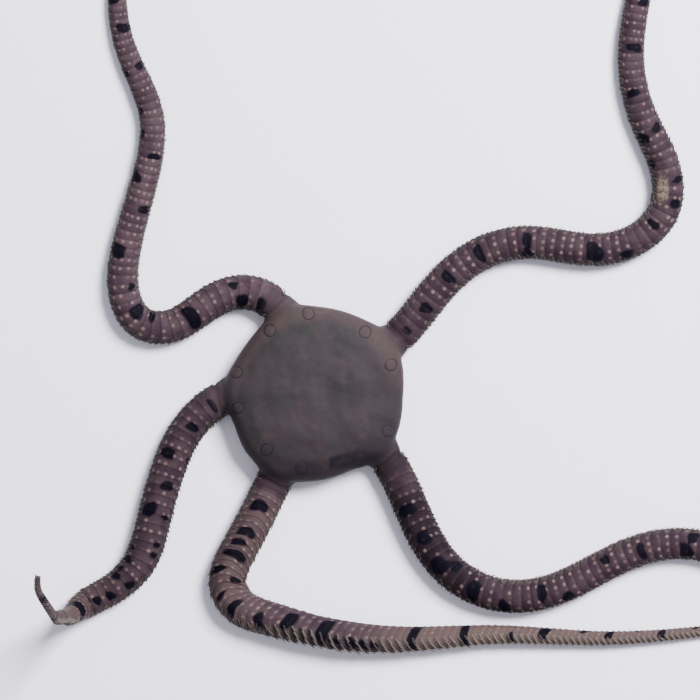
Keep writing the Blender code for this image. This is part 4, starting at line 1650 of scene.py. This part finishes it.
@dataclass
class SpineCoat:
    """Rows of short spines along the flanks of one arm."""

    route: Route
    spot_seed: int = SEED + 80
    stance_seed: int = SEED + 120
    first: float = 8.8
    rounds: tuple = (0.13, 0.16, 0.19, 0.22, 0.25, 0.28, 0.31, 0.34)
    slopes: tuple = (30.0, 28.0, 25.0, 22.0, 20.0, 18.0, 16.0, 13.0)
    rounds_thin: tuple = (0.15, 0.21, 0.27, 0.33)
    slopes_thin: tuple = (26.0, 22.0, 18.0, 15.0)
    slope_spread: float = 7.0
    round_spread: float = 0.008
    low_part: float = 0.92
    high_part: float = 0.5
    part_spread: float = 0.07
    stagger: float = 0.5
    sweeps: tuple = (20.0, 52.0)
    sweep_spread: float = 10.0
    lengths: tuple = ((0.6, 0.26), (2.5, 0.5), (5.0, 0.7))
    uneven: tuple = (0.6, 1.2)
    thickness: float = 0.22
    least_thick: float = 0.06
    thick_share: float = 0.13
    thicknesses: tuple = (0.85, 1.1)
    turned_thicker: float = 0.55
    turned_paler: float = 0.75
    sunk: float = 0.192
    clear: float = 0.08
    point: float = 0.15
    belly: float = 0.35
    bend: float = 0.3
    patch: float = 0.003

    def template(self) -> bpy.types.Mesh:
        """A spine of unit length and unit thickness, which tapers and bends a little.

        Returns:
            The spine's mesh.
        """
        bm = bmesh.new()
        patch = bm.loops.layers.uv.new("OFBake")
        bmesh.ops.create_cone(bm, cap_ends=True, segments=6, radius1=0.5, radius2=self.point, depth=1.0)
        sides = [edge for edge in bm.edges if abs(edge.verts[0].co.z - edge.verts[1].co.z) > 0.5]
        bmesh.ops.subdivide_edges(bm, edges=sides, cuts=1, use_grid_fill=True)
        for vert in bm.verts:
            share = vert.co.z + 0.5
            vert.co.z = share
            swell = 1.0 + self.belly * share * (1.0 - share)
            vert.co.x = vert.co.x * swell + self.bend * share * share
        for face in bm.faces:
            for loop in face.loops:
                angle = math.atan2(loop.vert.co.y, loop.vert.co.x)
                loop[patch].uv = ((angle / math.tau) * self.patch, (loop.vert.co.z - 0.5) * self.patch)
        mesh = bpy.data.meshes.new("spine")
        bm.to_mesh(mesh)
        bm.free()
        return mesh

    def spots(self) -> Iterator[tuple[float, float, float, float]]:
        """Where the spines stand, in slanting rows.

        Yields:
            The distance, the share of the way round, the slope and the sweep of every spine.
        """
        starts = self.route.rings()
        draw = np.random.default_rng(self.spot_seed + self.route.number)
        for near, far in zip(starts, starts[1:]):
            if near < self.first:
                continue
            thin = self.route.is_thin(near)
            rounds = self.rounds_thin if thin else self.rounds
            slopes = self.slopes_thin if thin else self.slopes
            for i, (round_, slope) in enumerate(zip(rounds, slopes)):
                up = i / (len(rounds) - 1)
                sweep = self.sweeps[0] + (self.sweeps[1] - self.sweeps[0]) * up
                lag = self.stagger * (i % 2) * (1.0 - self.route.turned(near))
                row = self.low_part + (self.high_part - self.low_part) * up
                for side in (0, 1):
                    part = row + draw.uniform(-self.part_spread, self.part_spread) - lag
                    spot = round_ + draw.uniform(-self.round_spread, self.round_spread)
                    yield (near + (far - near) * part, 1.0 - spot if side else spot,
                           slope + draw.uniform(-self.slope_spread, self.slope_spread),
                           sweep + draw.uniform(-self.sweep_spread, self.sweep_spread))

    def stance(self, distance: float, round_: float, angles: tuple[float, float],
               draw: np.random.Generator) -> Matrix:
        """Where a spine stands, how it is turned and how big it is.

        Args:
            distance: How far along the arm it grows.
            round_: Where round the arm it grows.
            angles: How steeply it leaves the skin and how far it leans to the underside, in degrees.
            draw: The random numbers that vary it.

        Returns:
            The matrix that places the unit spine.
        """
        root, outward, tangent = self.route.root(distance, round_)
        width = self.route.width(distance)
        length = at_distance(self.lengths, width) * draw.uniform(*self.uneven)
        thick = min(self.thickness, self.thick_share * width + self.least_thick)
        thick *= draw.uniform(*self.thicknesses)
        thick *= 1.0 + self.turned_thicker * self.route.turned(distance)
        slope, sweep = (math.radians(angle) for angle in angles)
        down = outward.cross(tangent) * (1.0 if round_ < 0.5 else -1.0)
        along = tangent * math.cos(sweep) + down * math.sin(sweep)
        way = along * math.cos(slope) + outward * math.sin(slope)
        low = root.z + way.z * length
        if low < self.clear + thick / 2:
            way.z += (self.clear + thick / 2 - low) / length
        way.normalize()
        side = (way.cross(outward)).normalized()
        inward = side.cross(way).normalized()
        turn = Matrix((-inward, side, way)).transposed().to_4x4()
        size = Matrix.Diagonal((thick, thick, length + self.sunk, 1.0))
        return Matrix.Translation(root - way * self.sunk) @ turn @ size

    def build(self) -> bpy.types.Object:
        """All the spines of the arm in one mesh, each with a patch of the flat map at its root.

        Returns:
            The coat, in millimetres.
        """
        draw = np.random.default_rng(self.stance_seed + self.route.number)
        blotches = Blotches(self.route)
        template = self.template()
        bm = bmesh.new()
        roots, darks, tones, pales = [], [], [], []
        plan = self.route.plan
        for distance, round_, *angles in self.spots():
            piece = template.copy()
            piece.transform(self.stance(distance, round_, tuple(angles), draw))
            bm.from_mesh(piece)
            bpy.data.meshes.remove(piece)
            roots.append(UNWRAP.arm(self.route.number, distance, round_))
            darks.append(blotches.row(distance, np.array([round_]))[0])
            tones.append(draw.uniform(0.0, 1.0))
            turned = self.turned_paler * self.route.turned(distance)
            pales.append(max(turned, at_distance(plan.tan, distance)))
        for vert in bm.verts:
            vert.co.z = max(vert.co.z, self.clear / 4)
        made = new_object(f"spines_{self.route.plan.name}", bm)
        self.dress(made.data, template, np.array(roots), {"dark": darks, "tone": tones, "pale": pales})
        bpy.data.meshes.remove(template)
        return made

    def dress(self, mesh: bpy.types.Mesh, template: bpy.types.Mesh, roots: np.ndarray,
              shades: dict[str, Sequence[float]]) -> None:
        """Moves each spine's patch to its root and keeps its shade at its points.

        Args:
            mesh: The coat's mesh.
            template: One spine.
            roots: The place of every spine on the flat map.
            shades: Numbers from 0 to 1 that vary the spines' colours, one for each of them.
        """
        points, corners = len(template.vertices), len(template.loops)
        layer = mesh.uv_layers["OFBake"]
        flat = np.zeros(len(mesh.loops) * 2, np.float32)
        layer.uv.foreach_get("vector", flat)
        flat = flat.reshape(len(roots), corners, 2) + roots[:, None, :]
        layer.uv.foreach_set("vector", flat.astype(np.float32).ravel())
        heights = np.array([vert.co.z for vert in template.vertices])
        far = np.tile(heights, len(roots))
        shades = {name: np.repeat(values, points) for name, values in shades.items()}
        for name, values in {**shades, "far": far}.items():
            attribute = mesh.attributes.new(name, "FLOAT", "POINT")
            attribute.data.foreach_set("value", values.astype(np.float32))


@dataclass
class Jaws:
    """The five jaws, wedges that point to the middle of the mouth, with papillae and teeth."""

    inner: float = 1.35
    outer: float = 4.3
    slit: float = 0.9
    floor: float = 0.3
    roof: float = 1.9
    chamfer: float = 0.3
    chamfered: float = 0.8
    rounding: float = 0.09
    shield: tuple = (2.0, 0.5)
    shield_out: float = 0.55
    shield_down: float = 0.1
    papilla: tuple = (0.56, 0.44)
    papilla_places: tuple = (0.12, 0.34, 0.56, 0.78)
    papilla_lean: float = 0.35
    papilla_below: float = 0.2
    tooth: tuple = (0.75, 0.42)
    tooth_levels: tuple = (0.55, 0.95, 1.35)
    tooth_ahead: float = 0.12
    sharp: float = 40.0

    def outline(self, bearing: float, half: float) -> list[Vector]:
        """A sector between two slits.

        Args:
            bearing: The bearing of the jaw's middle line, in degrees.
            half: Half the angle between the arms beside it.

        Returns:
            Its corners, the first one repeated at the end.
        """
        turns = [half - math.degrees(math.asin(self.slit / 2 / r)) for r in (self.inner, self.outer)]
        made = [polar(self.inner, bearing - turns[0])]
        made += [polar(self.outer, bearing + turns[1] * part) for part in (-1.0, -0.5, 0.0, 0.5, 1.0)]
        made.append(polar(self.inner, bearing + turns[0]))
        return [*made, made[0]]

    @staticmethod
    def knob(place: Vector, way: Vector, length: float, thick: float) -> bpy.types.Object:
        """A rounded papilla, tooth or plate.

        Args:
            place: Its middle.
            way: The way it points.
            length: How long it is.
            thick: How thick it is.

        Returns:
            The knob's object.
        """
        bm = bmesh.new()
        turn = way.to_track_quat("Z", "X").to_matrix().to_4x4()
        size = Matrix.Diagonal((thick / 2, thick / 2, length / 2, 1.0))
        matrix = Matrix.Translation(place) @ turn @ size
        bmesh.ops.create_icosphere(bm, subdivisions=2, radius=1.0, matrix=matrix)
        return new_object("knob", bm)

    def build(self, before: float, after: float, number: int) -> bpy.types.Object:
        """One jaw between two arms.

        Args:
            before: The bearing of the arm on one side.
            after: The bearing of the arm on the other side.
            number: The jaw's number.

        Returns:
            The jaw, in millimetres.
        """
        spread = (after - before) % 360.0
        bearing = before + spread / 2
        outline = self.outline(bearing, spread / 2)
        middle = sum(outline[:-1], Vector()) / (len(outline) - 1)
        levels = ((self.floor, self.chamfered), (self.floor + self.chamfer, 1.0), (self.roof, 1.0))
        rows = [[middle.lerp(corner, size) + Vector((0, 0, z)) for corner in outline] for z, size in levels]
        bm = grid_skin(rows)
        bmesh.ops.bevel(bm, geom=bm.edges[:], offset=self.rounding, offset_type="OFFSET", segments=2,
                        profile=0.5, affect="EDGES", material=-1)
        made = new_object(f"jaw_{number}_finish", bm)
        place = middle + polar(self.shield_out, bearing) + Vector((0, 0, self.floor + self.shield_down))
        knobs = [self.knob(place, polar(1.0, bearing + 90), *self.shield)]
        height = Vector((0, 0, (self.floor + self.roof) / 2 - self.papilla_below))
        for inner, outer, side in ((outline[0], outline[1], -1), (outline[-2], outline[-3], 1)):
            way = (polar(1.0, bearing + side * 90) - polar(self.papilla_lean, bearing)).normalized()
            for part in self.papilla_places:
                knobs.append(self.knob(inner.lerp(outer, part) + height, way, *self.papilla))
        tip = (outline[0] + outline[-2]) / 2
        for level in self.tooth_levels:
            place = tip + Vector((0, 0, level)) - polar(self.tooth_ahead, bearing)
            knobs.append(self.knob(place, polar(1.0, bearing), *self.tooth))
        boolean(made, knobs, "UNION")
        return made


class Lamp(NamedTuple):
    """An area light: its place from the disc's middle and its side in metres, its watts and colour."""

    name: str
    place: tuple
    side: float
    watts: float
    colour: tuple


@dataclass(frozen=True)
class Studio:
    """The camera above the animal, soft light from the upper right and a plain pale floor."""

    height: float = 360.0
    half_view: float = 52.5
    aside: tuple = (4.8, 6.3)
    floor_side: float = 4000.0
    floor_colour: Colour = srgb(244, 241, 254)
    floor_roughness: float = 0.85
    fill_colour: Colour = srgb(236, 236, 248)
    fill: float = 0.52
    lamps: tuple = (Lamp("key", (0.26, 0.24, 0.42), 0.2, 11.0, (1.0, 0.98, 1.02)),
                    Lamp("sky", (-0.1, 0.05, 0.6), 0.9, 1.1, (0.95, 0.96, 1.0)))

    def camera(self, middle: Vector) -> None:
        """The camera, straight above a point beside the disc.

        Args:
            middle: The place of the disc's middle.
        """
        data = bpy.data.cameras.new("camera")
        data.sensor_width = 36.0
        data.lens = data.sensor_width / 2 * self.height / self.half_view
        data.clip_start, data.clip_end = 0.01, 10.0
        made = bpy.data.objects.new("camera", data)
        made.location = middle + Vector((*self.aside, self.height)) * MM
        bpy.context.scene.collection.objects.link(made)
        bpy.context.scene.camera = made

    @staticmethod
    def light(lamp: Lamp, middle: Vector) -> None:
        """An area light that faces the disc.

        Args:
            lamp: Its place, size and power.
            middle: The place of the disc's middle.
        """
        data = bpy.data.lights.new(lamp.name, "AREA")
        data.size = lamp.side
        data.energy = lamp.watts
        data.color = lamp.colour
        made = bpy.data.objects.new(lamp.name, data)
        made.location = middle + Vector(lamp.place)
        made.rotation_mode = "QUATERNION"
        made.rotation_quaternion = (middle - made.location).to_track_quat("-Z", "Y")
        bpy.context.scene.collection.objects.link(made)

    def floor(self) -> None:
        """The pale floor."""
        bm = bmesh.new()
        bmesh.ops.create_grid(bm, x_segments=1, y_segments=1, size=self.floor_side / 2 * MM)
        made = new_object("floor", bm)
        inputs = {"Base Color": self.floor_colour, "Roughness": self.floor_roughness}
        made.data.materials.append(Sheet("floor_finish").finish(inputs))
        made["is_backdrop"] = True

    def build(self, middle: Vector) -> None:
        """Sets up the studio.

        Args:
            middle: The place of the disc's middle.
        """
        self.camera(middle)
        self.floor()
        for lamp in self.lamps:
            self.light(lamp, middle)
        world = bpy.data.worlds.new("world")
        world.use_nodes = True
        background = world.node_tree.nodes["Background"]
        background.inputs["Color"].default_value = self.fill_colour
        background.inputs["Strength"].default_value = self.fill
        bpy.context.scene.world = world


@dataclass(frozen=True)
class BrittleStar:
    """The animal's pieces."""

    middle: Vector

    def pieces(self) -> Iterator[bpy.types.Object]:
        """Builds and dresses every piece.

        Yields:
            The finished pieces.
        """
        routes = [Route(plan, number) for number, plan in enumerate(ARMS)]
        disc_look = DiscFinish().build(self.middle)
        arm_look = ArmFinish().build(self.middle)
        spine_look = SpineFinish().build(self.middle)
        jaw_look = JawFinish().build(self.middle)
        skin = Skin().build(Disc().build(routes), routes)
        every_node = ["disc", *(name for plan in ARMS for name in node_names(plan))]
        yield finished(skin, self.middle, Slot.DISC, every_node, [disc_look, arm_look])
        for route in routes:
            coat = SpineCoat(route).build()
            yield finished(coat, self.middle, Slot.ARM, node_names(route.plan), [spine_look])
        bearings = sorted(plan.bearing % 360.0 for plan in ARMS)
        jaws = Jaws()
        for number, (before, after) in enumerate(zip(bearings, bearings[1:] + bearings[:1]), 1):
            jaw = jaws.build(before, after, number)
            yield finished(jaw, self.middle, Slot.JAW, [f"jaw_{number}"], [jaw_look], jaws.sharp)


def main(cad_box: tuple[Vector, Vector]) -> None:
    """Builds the animal and its studio.

    Args:
        cad_box: The box of the solids, from before anything replaces them.
    """
    logging.basicConfig(level=logging.INFO, format="%(message)s")
    middle = disc_middle()
    for piece in BrittleStar(middle).pieces():
        LOG.info("%s: %d faces", piece.name, len(piece.data.polygons))
    Studio().build(middle)
    boxes = {"cad": cad_box, "visual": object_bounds()}
    {name: [list(corner) for corner in box] for name, box in boxes.items()}


if __name__ == "__main__":
    main(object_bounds())
